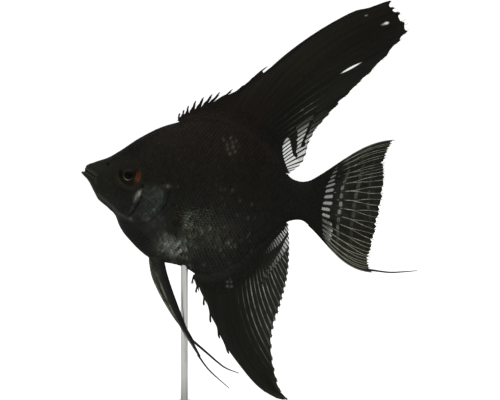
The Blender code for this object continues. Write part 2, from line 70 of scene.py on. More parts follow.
BACK = [(-0.8, 0.1), (0.5, 1.9), (2.8, 3.3), (7.6, 5.8), (11.6, 9.0), (15.5, 12.5),
        (19.6, 15.6), (23.0, 17.8), (28.0, 20.1), (34.0, 22.1), (40.5, 22.8),
        (45.0, 22.0), (49.1, 20.5), (53.4, 18.1), (57.9, 15.1), (62.3, 11.7),
        (66.5, 8.3), (68.6, 7.0), (71.0, 6.5), (74.3, 7.3), (76.0, 8.4)]
BELLY = [(-0.8, -0.8), (2.0, -3.2), (4.2, -6.3), (6.0, -8.7), (7.0, -9.4), (9.9, -11.3),
         (12.5, -13.6), (13.6, -15.7), (15.3, -18.0), (18.1, -20.6), (21.1, -23.0),
         (25.0, -25.3), (30.0, -26.2), (35.0, -26.5), (38.5, -27.4), (41.0, -28.6),
         (45.3, -28.9), (49.8, -27.2), (54.0, -24.3), (58.2, -20.4), (62.2, -15.6),
         (65.8, -10.8), (68.6, -7.6), (71.0, -6.5), (73.9, -6.4), (76.0, -7.6)]
HALF_WIDTH = [(-0.8, 1.0), (0.5, 1.9), (3.0, 3.0), (7.0, 4.2), (11.0, 5.3), (15.5, 6.2),
              (20.0, 6.8), (25.0, 7.2), (30.0, 7.25), (36.0, 6.9), (44.0, 6.0),
              (52.0, 4.8), (60.0, 3.5), (66.0, 2.6), (71.0, 2.0), (76.0, 1.4)]
LEVEL = [(-0.8, 0.5), (8.0, 0.58), (16.0, 0.55), (28.0, 0.5), (50.0, 0.52), (76.0, 0.5)]
KEEL = [(-0.8, 1.0, 1.0), (6.0, 1.05, 1.2), (15.0, 1.2, 1.35), (28.0, 1.3, 1.2),
        (40.0, 1.35, 1.15), (50.0, 1.4, 1.4), (66.0, 1.15, 1.2), (76.0, 1.0, 1.0)]

DORSAL_SPINES = 12
DORSAL_ROOT = [(1, 28.7), (12, 45.8), (13, 47.0), (37, 66.6)]
DORSAL_TIP = [(1, 28.7, 22.5), (2, 29.9, 23.8), (3, 31.2, 25.4), (4, 33.4, 27.3),
              (5, 35.8, 28.8), (6, 38.5, 30.2), (7, 40.9, 31.2), (8, 44.9, 32.7),
              (9, 48.4, 34.6), (10, 51.3, 37.8), (11, 55.3, 42.6), (12, 58.2, 43.9),
              (12.25, 63.6, 49.6), (12.5, 68.2, 54.3), (12.75, 73.8, 59.2), (13, 79.7, 63.7),
              (13.5, 86.3, 66.7), (14, 92.3, 69.7), (14.5, 93.1, 68.5), (16, 96.0, 66.6),
              (18, 99.9, 61.8), (20, 97.0, 56.4), (22, 91.4, 48.1), (25, 84.1, 38.9),
              (28, 78.0, 30.4), (31, 73.5, 23.2), (33, 72.4, 18.8), (35, 71.0, 12.8),
              (37, 67.4, 8.7)]
DORSAL_BOW = [(1, 0.16), (4, 0.2), (8, 0.2), (10, 0.13), (12, 0.11), (13, 0.11), (14, 0.13),
              (18, 0.085), (22, 0.06), (28, 0.04), (37, 0.0)]
DORSAL_NOTCH = [(1, 2.1), (2, 3.0), (3, 4.2), (4, 5.1), (6, 5.5), (7, 4.8), (8, 3.2), (9, 1.6), (10, 1.9),
                (11, 2.9), (12, 1.1), (13, 0.5), (14, 0.9), (15.5, 1.8), (17.5, 2.0), (20, 1.5), (24, 1.1),
                (30, 0.8), (37, 0.45)]
ANAL_SPINES = 6
ANAL_ROOT = [(1, 40.8), (6, 48.8), (7, 50.2), (32, 68.7)]
ANAL_TIP = [(1, 41.0, -31.8), (2, 43.1, -34.3), (3, 46.3, -38.1), (4, 49.3, -43.4),
            (5, 52.9, -48.1), (6, 56.3, -52.9), (6.25, 60.2, -56.8), (6.5, 64.9, -61.1),
            (6.75, 68.2, -63.4), (7, 71.6, -64.8), (8, 76.9, -65.4), (9, 74.8, -63.3),
            (11, 72.3, -58.4), (13, 70.4, -53.1), (15, 69.2, -47.2), (17, 69.2, -42.5),
            (20, 70.4, -35.0), (24, 71.4, -25.3), (28, 70.7, -15.8), (32, 69.2, -8.4)]
ANAL_BOW = [(1, 0.04), (6, 0.15), (7, 0.17), (8, 0.19), (10, 0.15), (14, 0.10),
            (20, 0.065), (32, 0.0)]
ANAL_NOTCH = [(1, 2.0), (2, 2.3), (3, 2.4), (4, 2.3), (5, 1.9), (6, 0.9), (7, 0.5), (9, 1.0), (13, 1.3),
              (18, 1.15), (24, 0.8), (32, 0.5)]
CAUDAL_ROOT = [(1, 75.5, 8.0), (17, 75.5, -7.4)]
CAUDAL_TIP = [(1, 100.1, 24.3), (2, 98.9, 22.0), (3, 98.3, 19.8), (5, 98.0, 15.9),
              (7, 98.6, 11.5), (9, 98.8, 4.4), (11, 98.4, -1.8), (13, 97.9, -8.2),
              (15, 97.4, -14.0), (16.3, 97.8, -18.2), (17, 98.8, -20.0)]
CAUDAL_BOW = [(1, 0.02, 0.148), (4, 0.02, 0.07), (9, 0.0, 0.0), (14, -0.02, -0.08),
              (17, -0.03, -0.215)]
CAUDAL_TRAIL = [(95.6, -19.3), (99.8, -19.3), (104.6, -19.2), (109.2, -18.4), (113.7, -17.4)]
# The tail's bony rays, top to bottom: their places across the fin near the root, how far each
# has drifted down it where it forks
CAUDAL_RAYS = [1.0, 1.5, 2.15, 3.0, 3.95, 4.95, 6.1, 7.4, 8.68, 10.07, 11.43, 12.68, 13.85, 14.75,
               15.45, 16.0, 16.5, 17.0]
CAUDAL_DRIFT = [(1, 0.0), (2, 0.25), (4, 0.6), (6, 0.45), (8, 0.35), (10, 0.28), (11.5, 0.2),
                (12.7, 0.1), (14, 0.05), (17, 0.0)]
PELVIC_LEFT = {"front": [(26.4, -26.2), (30.0, -33.1), (34.3, -40.5), (40.0, -48.1), (46.2, -55.3)],
               "rear": [(30.7, -26.8), (33.2, -32.3), (37.0, -39.5), (41.6, -47.5), (46.7, -54.9)],
               "trail": [(45.6, -54.5), (49.3, -58.3), (52.7, -60.8), (57.4, -63.8)],
               "y": (-1.8, -4.6)}
PELVIC_RIGHT = {"front": [(25.3, -26.2), (26.9, -31.6), (30.6, -37.6), (36.3, -44.6), (43.2, -51.1)],
                "rear": [(29.6, -26.8), (31.5, -32.0), (34.9, -38.0), (39.0, -44.5), (43.6, -50.7)],
                "trail": [(42.7, -50.5), (48.3, -54.1), (52.1, -56.6), (55.4, -58.4), (59.9, -59.5)],
                "y": (1.8, 4.4)}
PECTORAL_ROOT = [(1, 30.2, -7.6), (6, 31.2, -10.0), (12, 31.4, -12.6)]
PECTORAL_TIP = [(1, 41.2, -6.9), (3, 43.9, -7.0), (6, 44.1, -11.9), (9, 41.0, -16.6),
                (12, 35.8, -17.8)]
PECTORAL_SPREAD_DEG = 20.0

# lines on the head
GILL_EDGE = [(22.2, 17.8), (25.8, 10.6), (27.3, 4.8), (28.7, -0.6), (28.6, -4.7), (27.5, -8.2),
             (25.9, -11.0), (23.2, -13.7), (19.7, -14.6), (16.3, -14.1), (13.1, -13.8)]
PREOPERCLE = [(19.5, -1.3), (20.3, -3.5), (19.8, -7.4), (18.2, -10.8), (16.8, -13.2)]
MOUTH_LINE = [(0.3, 0.22), (0.62, 0.2), (1.6, -0.25), (2.8, -0.75), (3.6, -1.2), (4.2, -1.55)]
MOUTH_GAP = [(0.3, 0.30), (0.62, 0.2), (1.6, 0.12), (2.8, 0.08), (3.8, 0.05), (4.2, 0.03)]
JAW_LINE = [(4.3, -1.7), (5.0, -4.4), (6.2, -7.4), (7.9, -8.9), (10.8, -10.9), (14.1, -13.0),
            (17.9, -13.6)]


# ------------------------------------------------------------------ maths
def smooth(table, x):
    """A smooth curve through a table's rows (x, value, ...), by cubic Hermite spans."""
    t = np.asarray(table, float)
    xs, ys = t[:, 0], t[:, 1:]
    x = np.clip(np.asarray(x, float), xs[0], xs[-1])
    i = np.clip(np.searchsorted(xs, x, side="right") - 1, 0, len(xs) - 2)
    h = np.diff(xs)
    d = np.diff(ys, axis=0) / h[:, None]
    m = np.empty_like(ys)
    m[0], m[-1] = d[0], d[-1]
    m[1:-1] = (d[:-1] * h[1:, None] + d[1:] * h[:-1, None]) / (h[:-1] + h[1:])[:, None]
    f = ((x - xs[i]) / h[i])[..., None]
    hi = h[i][..., None]
    out = ((1 + 2 * f) * (1 - f) ** 2 * ys[i] + f * (1 - f) ** 2 * hi * m[i]
           + f * f * (3 - 2 * f) * ys[i + 1] + f * f * (f - 1) * hi * m[i + 1])
    return out[..., 0] if ys.shape[1] == 1 else out


def line(table, x):
    """Straight spans through a table's rows (x, value)."""
    t = np.asarray(table, float)
    return np.interp(x, t[:, 0], t[:, 1])


def step(lo, hi, x):
    """0 below lo, 1 above hi, smooth between; runs the other way if lo is above hi."""
    f = np.clip((x - lo) / (hi - lo), 0, 1)
    return f * f * (3 - 2 * f)


def bump(x, width):
    return np.exp(-(x / width) ** 2)


def blob(u, w, u0, w0, su, sw, turn=0.0):
    c, s = math.cos(math.radians(turn)), math.sin(math.radians(turn))
    a, b = (u - u0) * c + (w - w0) * s, (w - w0) * c - (u - u0) * s
    return np.exp(-(a / su) ** 2 - (b / sw) ** 2)


def unit(v):
    return v / np.maximum(np.linalg.norm(v, axis=-1, keepdims=True), 1e-9)


def path(points, count):
    table = [(k, *p) for k, p in enumerate(points)]
    return smooth(table, np.linspace(0, len(points) - 1, count))


def from_line(u, w, points, fine=6):
    """Distance from a smooth line, which side of it (+ is the outer, rear side), share along."""
    p = path(points, len(points) * fine)
    best = np.full(u.shape, 1e9)
    side = np.zeros(u.shape)
    along = np.zeros(u.shape)
    for k in range(len(p) - 1):
        a, d = p[k], p[k + 1] - p[k]
        t = np.clip(((u - a[0]) * d[0] + (w - a[1]) * d[1]) / (d @ d), 0, 1)
        du, dw = u - a[0] - t * d[0], w - a[1] - t * d[1]
        dist = np.hypot(du, dw)
        near = dist < best
        best = np.where(near, dist, best)
        side = np.where(near, np.sign(-(d[0] * (w - a[1]) - d[1] * (u - a[0]))), side)
        along = np.where(near, (k + t) / (len(p) - 1), along)
    return best, -side, along


TILT = math.radians(NOSE_UP_DEG)
COS, SIN = math.cos(TILT), math.sin(TILT)


def world(p):
    """Fish frame (u, y, w) in mm to the model's frame in metres."""
    p = np.asarray(p, float)
    x = SNOUT_X + p[..., 0] * COS + p[..., 2] * SIN
    z = SNOUT_Z - p[..., 0] * SIN + p[..., 2] * COS
    return np.stack([x, p[..., 1], z], -1) * 0.001


def wobble(x, seed, count=400):
    """A smooth random wave of x, about -1 to 1."""
    values = np.random.default_rng(seed).uniform(-1, 1, count)
    i = np.floor(x).astype(int)
    f = x - i
    f = f * f * (3 - 2 * f)
    return values[i % count] * (1 - f) + values[(i + 1) % count] * f


# ------------------------------------------------------------------ the body's form
def section(u):
    back, belly = smooth(BACK, u), smooth(BELLY, u)
    lip = smooth([(-0.8, -0.42), (-0.5, -0.22), (0.0, -0.12), (0.6, -0.1)], u)
    back = lip + (back - lip) * step(0.28, 0.46, u)
    wide = smooth(HALF_WIDTH, u) * smooth([(72, 1.0), (75.0, 0.9), (76.3, 0.6), (77.3, 0.3)], u)
    level = belly + smooth(LEVEL, u) * (back - belly)
    keel = smooth(KEEL, u)
    return back, belly, wide, level, keel[..., 0], keel[..., 1]


def body_point(u, a, side):
    """a is 0 at the widest level, a quarter turn at the back and minus that at the belly."""
    back, belly, wide, level, top, bottom = section(u)
    s, c = np.sin(a), np.maximum(np.cos(a), 0)
    q = np.where(s >= 0, top, bottom)
    w = level + np.where(s >= 0, back - level, level - belly) * s
    y = side * wide * c ** q
    return np.stack([u, y, w], -1)


def body_normal(p):
    """The way out of the body at its surface, from the slope of its implicit form."""
    def form(u, y, w):
        back, belly, wide, level, top, bottom = section(u)
        up = w >= level
        tau = np.where(up, (w - level) / (back - level), (level - w) / (level - belly))
        q = np.where(up, top, bottom)
        return (np.abs(y) / wide) ** (2 / q) + tau * tau

    u, y, w = p[..., 0], p[..., 1], p[..., 2]
    e = 0.03
    yy = np.sign(y) * np.maximum(np.abs(y), 0.001)
    g = np.stack([form(u + e, yy, w) - form(u - e, yy, w),
                  form(u, yy + e * np.sign(yy), w) - form(u, yy, w),
                  form(u, yy, w + e) - form(u, yy, w - e)], -1)
    g[..., 1] = 2 * g[..., 1] * np.sign(yy)
    g[..., 1] *= step(0.0, 0.25, np.abs(y))
    return unit(g)


def relief(u, w):
    """How far the skin stands over its plain form, mm: plates, folds, lips, pits and pores."""
    eye = np.hypot(u - EYE_U, w - EYE_W)
    h = -2.5 * step(3.98, 3.6, eye) + 0.12 * bump(eye - 4.5, 0.36)
    h -= 0.09 * bump(eye - 5.5, 0.3) * step(2.5, -1.0, w)
    # gill cover: the plate rises to its rear edge, over a narrow dark slit
    d, side, along = from_line(u, w, GILL_EDGE)
    live = step(0.24, 0.52, along) * step(1.0, 0.93, along)
    signed = d * side
    h += live * 0.2 * np.exp(np.minimum(signed, 0) / 2.6) * step(0.5, -0.2, signed)
    h -= live * 0.14 * bump(signed - 0.5, 0.4)
    h -= 0.05 * bump(d, 0.5) * (1 - step(0.24, 0.52, along)) * step(0.0, 0.05, along)
    # cheek plate's rear edge, then its ridge
    d, side, along = from_line(u, w, PREOPERCLE)
    h -= 0.22 * bump(d, 0.26) * step(0.0, 0.2, along)
    h += 0.12 * bump(d * side + 0.75, 0.5) * step(3.0, 1.0, d)
    # the jaw's line, and the folds of the gill membrane under it
    d, side, along = from_line(u, w, JAW_LINE)
    h -= 0.15 * bump(d, 0.24) * step(1.0, 0.9, along)
    for k, off in enumerate((1.15, 2.0, 2.8)):
        lie = from_line(u, w + off, GILL_EDGE[-6:])[0]
        h -= (0.14 - 0.03 * k) * bump(lie, 0.22) * step(26.0, 22.0, u) * step(10.5, 12.0, u)
    # lips round the mouth, and the fold at its corner
    line_w, gap = smooth(MOUTH_LINE, u), smooth(MOUTH_GAP, u)
    mouth = step(4.9, 4.0, u) * step(-0.9, -0.6, u)
    h += mouth * 0.17 * (bump(w - line_w - gap - 0.34, 0.3) + bump(w - line_w + gap + 0.34, 0.3))
    h -= mouth * 0.10 * (bump(w - line_w - gap - 0.95, 0.16) + bump(w - line_w + gap + 0.95, 0.16))
    d = from_line(u, w, [(4.2, -1.4), (4.6, -2.2), (4.3, -3.5)])[0]
    h -= 0.16 * bump(d, 0.18)
    d = from_line(u, w, [(0.9, 2.6), (2.4, 1.6), (4.1, 0.2), (5.1, -1.4)])[0]
    h -= 0.10 * bump(d, 0.2)
    # nostril, and the sensory pores of the head
    d = np.hypot(u - 7.6, w - 3.5)
    h += 0.13 * bump(d - 0.62, 0.2) - 0.5 * bump(d, 0.36)
    for pu, pw in ((9.3, 5.2), (10.6, 6.9), (13.4, 9.6), (8.6, 0.4), (9.9, -2.4), (12.0, -4.4),
                   (15.0, -5.4), (18.2, -4.4), (6.1, -5.6), (8.3, -7.4), (11.2, -9.4),
                   (14.6, -11.3), (17.4, -9.8), (21.2, 4.4), (23.9, 6.2)):
        h -= 0.14 * bump(np.hypot(u - pu, w - pw), 0.2)
    # muscle and bone under the skin
    h += 0.14 * blob(u, w, 13.6, -7.4, 4.2, 3.2) + 0.10 * blob(u, w, 24.0, -5.4, 2.6, 4.6)
    h -= 0.10 * blob(u, w, 10.6, 1.4, 2.2, 3.0)
    h += 0.16 * step(1.0, 0.55, np.hypot((u - 31.7) / 2.3, (w + 13.3) / 3.4))
    return h


def skin_depth(u, w):
    """The skin lies deeper where scales cover it."""
    bare = np.maximum(step(8.5, 5.0, u), step(6.2, 5.2, np.hypot(u - EYE_U, w - EYE_W)))
    return 0.05 + (SCALE_DEPTH - 0.05) * (1 - bare)


def body_skin(u, a, side):
    """Points of the finished skin, and the way out of it."""
    p = body_point(u, a, side)
    n = body_normal(p)
    w = p[..., 2]
    line_w, gap = smooth(MOUTH_LINE, u), smooth(MOUTH_GAP, u)
    slit = np.exp(-((w - line_w) / gap) ** 4) * step(4.35, 4.1, u) * step(0.36, 0.46, u)
    h = relief(u, w) - skin_depth(u, w)
    ridge = step(0.0, 1.2, np.abs(p[..., 1]))
    out = p + n * (h * (0.3 + 0.7 * ridge))[..., None]
    out[..., 1] *= 1 - 0.95 * slit
    return out, n


# ------------------------------------------------------------------ the fins' form
def ray_point(root, tip, bow, side, r):
    chord = tip - root
    across = np.stack([-chord[..., 1], chord[..., 0]], -1) * side
    bow = np.asarray(bow, float)
    if bow.ndim == r.ndim:
        bow = np.stack([bow, bow], -1)
    lean = (1 - r) * bow[..., 0] + r * bow[..., 1]
    return root + chord * r[..., None] + across * (3 * r * (1 - r) * lean)[..., None]


def crowding(table, count_from, count):
    """Numbers for rays that stand at uneven spacings: number from place, place from number."""
    lo, hi = table[0][0], table[-1][0]
    place = np.linspace(lo, hi, 800)
    run = np.concatenate([[0], np.cumsum(np.diff(place) / smooth(table, (place[1:] + place[:-1]) / 2))])
    number = count_from + run * count / run[-1]
    return (lambda x: np.interp(x, place, number)), (lambda n: np.interp(n, number, place))


DORSAL_COUNT, ANAL_COUNT = 22, 25
dorsal_number, dorsal_place = crowding([(13, 0.95), (16, 1.05), (20, 1.3), (23, 1.45), (25, 1.4),
                                        (27, 1.3), (29, 1.12), (31, 0.92), (33, 0.8), (37, 0.68)],
                                       13, DORSAL_COUNT)
anal_number, anal_place = crowding([(7, 1.1), (10, 1.25), (14, 1.28), (17, 1.15), (19, 0.98),
                                    (22, 0.9), (26, 0.88), (32, 0.8)], 7, ANAL_COUNT)


SLIT, SPOT = (float(dorsal_place(math.floor(float(dorsal_number(x))) + 0.5)) for x in (19.9, 16.3))


def dorsal_index(ray, s=0.0):
    return np.where(ray < 13, ray, dorsal_number(np.maximum(ray, 13)))


def anal_index(ray, s=0.0):
    return np.where(ray < 7, ray, anal_number(np.maximum(ray, 7)))


def caudal_index(ray, s):
    moved = ray - line(CAUDAL_DRIFT, ray) * np.clip((s - 4.5) / 8.5, 0, 1.25)
    return np.interp(moved, CAUDAL_RAYS, np.arange(len(CAUDAL_RAYS)))


def no_index(ray, s):
    return np.full(np.shape(ray + s), 0.5)


def edge_share(ray, index, notch, length, spines, fall=1.2):
    """How far down each ray the web's edge comes: notched behind spines, scalloped between rays."""
    whole = np.floor(index + 1e-6)
    f = index - whole
    depth = smooth(notch, ray)
    spiny = 1 - smooth(notch, np.minimum(whole, spines)) * np.clip(1 - f, 0, 1) ** fall / length
    soft = 1 - depth * (np.sin(np.pi * f) ** 2 * 0.75 + 0.25 * np.sin(2 * np.pi * f) ** 2) / length
    return np.where(f < 1e-5, 1.0, np.where(ray < spines, spiny, soft))


def dorsal(ray, r):
    u = smooth(DORSAL_ROOT, ray)
    root, tip = np.stack([u, smooth(BACK, u) + GAP], -1), smooth(DORSAL_TIP, ray)
    length = np.linalg.norm(tip - root, axis=-1)
    p = ray_point(root, tip, smooth(DORSAL_BOW, ray), 1, r)
    y = r * r * length / 60 * 2.6 * np.sin(0.2 * ray - 1.7 * r - 1.0)
    return np.stack([p[..., 0], y, p[..., 1]], -1), length


def anal(ray, r):
    u = smooth(ANAL_ROOT, ray)
    root, tip = np.stack([u, smooth(BELLY, u) - GAP], -1), smooth(ANAL_TIP, ray)
    length = np.linalg.norm(tip - root, axis=-1)
    p = ray_point(root, tip, smooth(ANAL_BOW, ray), -1, r)
    y = r * r * length / 45 * 2.0 * np.sin(0.22 * ray + 1.6 * r + 0.6)
    return np.stack([p[..., 0], y, p[..., 1]], -1), length


def caudal(ray, r):
    root = smooth(CAUDAL_ROOT, ray) + np.array([GAP, 0.0])
    tip = smooth(CAUDAL_TIP, ray)
    length = np.linalg.norm(tip - root, axis=-1)
    p = ray_point(root, tip, smooth(CAUDAL_BOW, ray), 1, r)
    y = r * r * 1.5 * np.sin(0.42 * ray + 1.2 * r - 1.4)
    return np.stack([p[..., 0], y, p[..., 1]], -1), length


def half_width_at(u, w):
    back, belly, wide, level, top, bottom = section(u)
    up = w >= level
    tau = np.where(up, (w - level) / (back - level), (level - w) / (level - belly))
    return wide * np.clip(1 - tau * tau, 0, 1) ** (np.where(up, top, bottom) / 2)


def pectoral(side):
    def point(ray, r):
        root, tip = smooth(PECTORAL_ROOT, ray), smooth(PECTORAL_TIP, ray)
        length = np.linalg.norm(tip - root, axis=-1)
        p = ray_point(root, tip, np.full(np.shape(ray), 0.03), 1, r)
        off = np.linalg.norm(p - root, axis=-1) * math.tan(math.radians(PECTORAL_SPREAD_DEG))
        off = off * np.sign(r) if np.any(r < 0) else off
        # it grows out of the flank, then stands a little way off it
        away = 1 - np.exp(-np.linalg.norm(p - root, axis=-1) / 1.5)
        y = half_width_at(root[..., 0], root[..., 1]) + (GAP + 0.45) * away * (r > 0) + off
        y = y + 0.12 * r * np.sin(1.7 * ray)
        return np.stack([p[..., 0] + 0.2, side * y, p[..., 1]], -1), length
    return point


def pelvic(fin):
    """Its ray number runs from 0 at the front edge to 5 at the rear one."""
    def point(ray, r):
        f = ray / 5
        front, rear = (smooth([(k / 4, *p) for k, p in enumerate(fin[e])], np.clip(r, 0, 1))
                       for e in ("front", "rear"))
        p = front * (1 - f)[..., None] + rear * f[..., None]
        slope = smooth([(k / 4, *p) for k, p in enumerate(fin["front"])], np.full(np.shape(r), 0.05)) \
            - np.array(fin["front"][0])
        p = p + slope * (np.minimum(r, 0) / 0.05)[..., None]
        y0, y1 = fin["y"]
        y = y0 + (y1 - y0) * r + math.copysign(0.35, y0) * np.sin(np.pi * f) * (1 - r)
        return np.stack([p[..., 0], y, p[..., 1]], -1), np.full(np.shape(ray), 34.0)
    return point


# ------------------------------------------------------------------ markings, and painted light and shade
def albedo(rgb):
    """Seen tones, 0 to 255 a channel, to the skin's own reflectance in the studio light."""
    rgb = np.clip(np.asarray(rgb, float), 0, 255) / 255
    lin = np.where(rgb <= 0.04045, rgb / 12.92, ((rgb + 0.055) / 1.055) ** 2.4)
    return np.clip((lin - SPECULAR) / LIGHT, 0.0006, 0.9)


SPECULAR, LIGHT = 0.0027, 1.25


BASE_SPOTS = [(52.74, -28.55, 0.36, 34), (51.96, -29.66, 0.42, 56), (53.17, -29.49, 0.42, 52),
              (52.12, -31.04, 0.52, 62), (53.47, -30.95, 0.46, 58)]
GLOSS = 0.035
WARM = np.array([1.115, 0.985, 0.855])
PLAIN = np.array([1.02, 1.015, 0.93])
TEAL = np.array([0.93, 1.05, 0.97])
COOL = np.array([0.985, 1.02, 0.96])
OLIVE = np.array([1.03, 1.03, 0.88])

FLECKS = [(48.6, -11.9, 0.40, 30), (52.3, -7.2, 0.35, 16), (51.2, -15.8, 0.42, 26),
          (52.7, -17.3, 0.40, 34), (51.8, -18.0, 0.40, 38), (53.1, -17.9, 0.34, 40),
          (49.7, -17.1, 0.42, 26), (50.6, -16.6, 0.40, 30), (54.5, -15.4, 0.5, 18),
          (40.4, -19.7, 0.42, 34), (38.9, -25.9, 0.5, 26), (43.5, -25.2, 0.6, 20),
          (51.9, -23.4, 0.42, 18), (49.5, -18.3, 0.42, 20), (48.0, -17.9, 0.45, 16),
          (28.4, -1.2, 0.55, 18), (26.8, -3.6, 0.5, 20),
          (22.8, -12.8, 0.42, 24), (8.9, -6.7, 0.3, 10), (7.2, -1.3, 0.4, 7),
          (8.0, -2.2, 0.4, 8), (9.4, -3.0, 0.4, 6), (28.0, -21.6, 0.5, 16)]
PALE_SCALES = [(44.3, 16.5, 44), (46.5, 17.5, 40), (45.6, 15.1, 46), (48.3, 16.7, 34), (47.6, 14.6, 52),
               (46.9, 12.2, 60), (46.0, 13.7, 44), (48.5, 13.1, 40), (47.4, 16.0, 34), (49.4, 15.0, 22)]


def body_tone(u, w):
    """The body's colour as seen, with its painted light and shade, 0 to 255 a channel, before scale-to-scale variation.
    """
    t = line([(-0.8, 29), (3, 28), (7, 27), (11, 26), (15, 25), (30, 25.4), (44, 26.2),
              (50, 25), (56, 22.5), (61, 20.5), (66, 20), (71, 21), (77, 21.5)], u)
    t = t + 2 * blob(u, w, 47.2, 15.0, 2.4, 3.4) - 3.5 * blob(u, w, 15.5, 9.5, 3.5, 2.4)
    t += 3 * step(56, 60, u)
    t += 3.5 * blob(u, w, 28, 22, 6, 4)
    lower = step(-3, -11, w)
    t += 8 * blob(u, w, 20.5, -10.4, 4.6, 4.2) + 4.5 * blob(u, w, 12.2, -8.2, 3.4, 2.8)
    t += 19 * blob(u, w, 23.8, -5.2, 4.0, 3.4) + 7 * blob(u, w, 25.4, -8.6, 2.6, 3.0)
    t += 12 * blob(u, w, 27.6, -12.6, 2.8, 2.6) + 7 * blob(u, w, 23.6, -11.7, 2.6, 2.0)
    # the lower flank is lifted, partly to make up for the scales' darker middles there and partly as painted light
    # against the shade where the side faces down
    t += 14 * blob(u, w, 42.0, -14.6, 7.6, 6.4) * lower + 8 * blob(u, w, 38.6, -13.8, 2.6, 4.6)
    t += 9 * blob(u, w, 47.5, -15.5, 7.0, 8.0) * lower
    t += 36 * blob(u, w, 31.6, -20.9, 4.3, 2.9, -12) + 15 * blob(u, w, 28.6, -17.6, 3.6, 2.6, 40)
    t += 10 * blob(u, w, 36.6, -20.2, 3.6, 3.0) + 18 * blob(u, w, 36.4, -11.3, 1.3, 2.2)
    t += 15 * blob(u, w, 35.2, -12.6, 3.6, 5.0)
    t -= 4 * blob(u, w, 55.0, -22.5, 4.2, 5.0)
    t += 13 * blob(u, w, 35.6, -10.6, 3.4, 3.4) + 12 * blob(u, w, 31.4, -19.4, 3.4, 2.2)
    t += 15 * blob(u, w, 34.8, -18.4, 3.2, 2.0) + 3.2 * blob(u, w, 49, -4.2, 13, 5.2)
    t += 10 * blob(u, w, 37.2, -9.6, 3.4, 2.8) + 9 * blob(u, w, 40.2, -12.2, 3.2, 2.8)
    t += 7.5 * blob(u, w, 34.0, -22.6, 6.0, 2.4) + 9 * blob(u, w, 35.7, -12.3, 2.4, 3.2)
    t += 4.5 * blob(u, w, 19.7, -12.8, 4.5, 3.4) + 9 * blob(u, w, 24.4, -15.4, 2.4, 2.4)
    t += 3 * step(-4, -10, w) * step(48, 54, u)
    # streak on the gill cover, the silver fleck and its tail, the band along the jaw
    d = from_line(u, w, [(22.9, -6.0), (26.2, -3.1)])[0]
    t += 11 * bump(d, 0.55)
    d = from_line(u, w, [(21.0, -3.4), (24.8, -2.4), (28.6, -1.0)])[0]
    t += 9 * bump(d, 1.0) + 10 * blob(u, w, 28.6, -1.0, 1.2, 0.9)
    t += 3.0 * wobble(u * 1.3 + w * 2.1, 81) * step(15, 19, u) * step(29, 27, u) * step(1, -2, w)
    t += 1.6 * wobble(u * 2.2 - w * 1.1, 82) * step(20, 12, u)
    d, _, along = from_line(u, w, [(18.05, -7.4), (19.0, -5.4), (20.0, -3.4)])
    core = step(0.0, 0.25, along) * step(1.0, 0.72, along)
    t += 76 * bump(d, 0.52 + 0.25 * core) * (0.35 + 0.65 * core)
    d = from_line(u, w, [(17.2, -12.2), (18.0, -9.2), (18.5, -7.6)])[0]
    t += 9 * bump(d, 0.4)
    d, side, along = from_line(u, w, PREOPERCLE)
    t -= 9 * bump(d, 0.42) * step(0.0, 0.1, along)
    d = from_line(u, w, [(5.9, -7.3), (7.9, -8.6), (10.6, -10.4), (13.4, -12.4), (17.9, -13.6)])[0]
    t += 20 * bump(d, 0.55) + 6 * bump(d, 1.3)
    d = from_line(u, w, [(24.1, -10.2), (25.6, -8.4), (26.5, -6.2), (26.8, -4.0)])[0]
    t += 10 * bump(d, 0.5)
    d, side, along = from_line(u, w, GILL_EDGE)
    # painted shadow: a soft darker band just behind the gill cover's rear edge
    t -= 2.5 * bump(d * side - 0.25, 0.45) * step(0.12, 0.3, along)
    ring = np.hypot(u - 22.8, w + 12.8)
    t += 8 * bump(ring - 0.85, 0.22)
    # lips
    d = from_line(u, w, [(-0.8, -0.5), (0.4, -0.3), (1.4, -0.7), (2.8, -1.2), (4.2, -2.0), (4.5, -3.4)])[0]
    t += 15 * bump(d, 0.5)
    d = from_line(u, w, [(0.4, 2.1), (0.6, 0.9), (2.6, 0.2), (4.4, -0.6)])[0]
    t += 17 * bump(d, 0.55)
    line_w, gap = smooth(MOUTH_LINE, u), smooth(MOUTH_GAP, u)
    t -= 16 * bump((w - line_w) / np.maximum(gap, 0.1), 0.8) * step(4.4, 4.0, u) * step(0.5, 0.8, u)
    t += 12 * blob(u, w, -0.2, 0.2, 1.0, 1.6)
    t -= 14 * bump(np.hypot(u - 7.6, w - 3.5), 0.36)
    # round the eye, and the plain oval at the root of the pectoral fin
    eye = np.hypot(u - EYE_U, w - EYE_W)
    t += 4 * bump(eye - 4.7, 0.5) * step(2, -2, w) + 5 * bump(eye - 4.05, 0.3)
    oval = np.hypot((u - 31.7) / 2.3, (w + 13.3) / 3.5)
    t = t + (31 - t) * step(1.12, 0.85, oval)
    for fu, fw, size, gain in FLECKS:
        t = t + gain * bump(np.hypot(u - fu, w - fw), size)
    for fu, fw, gain in PALE_SCALES:
        t = t + gain * blob(u, w, fu, fw, 0.34, 0.5, 20)
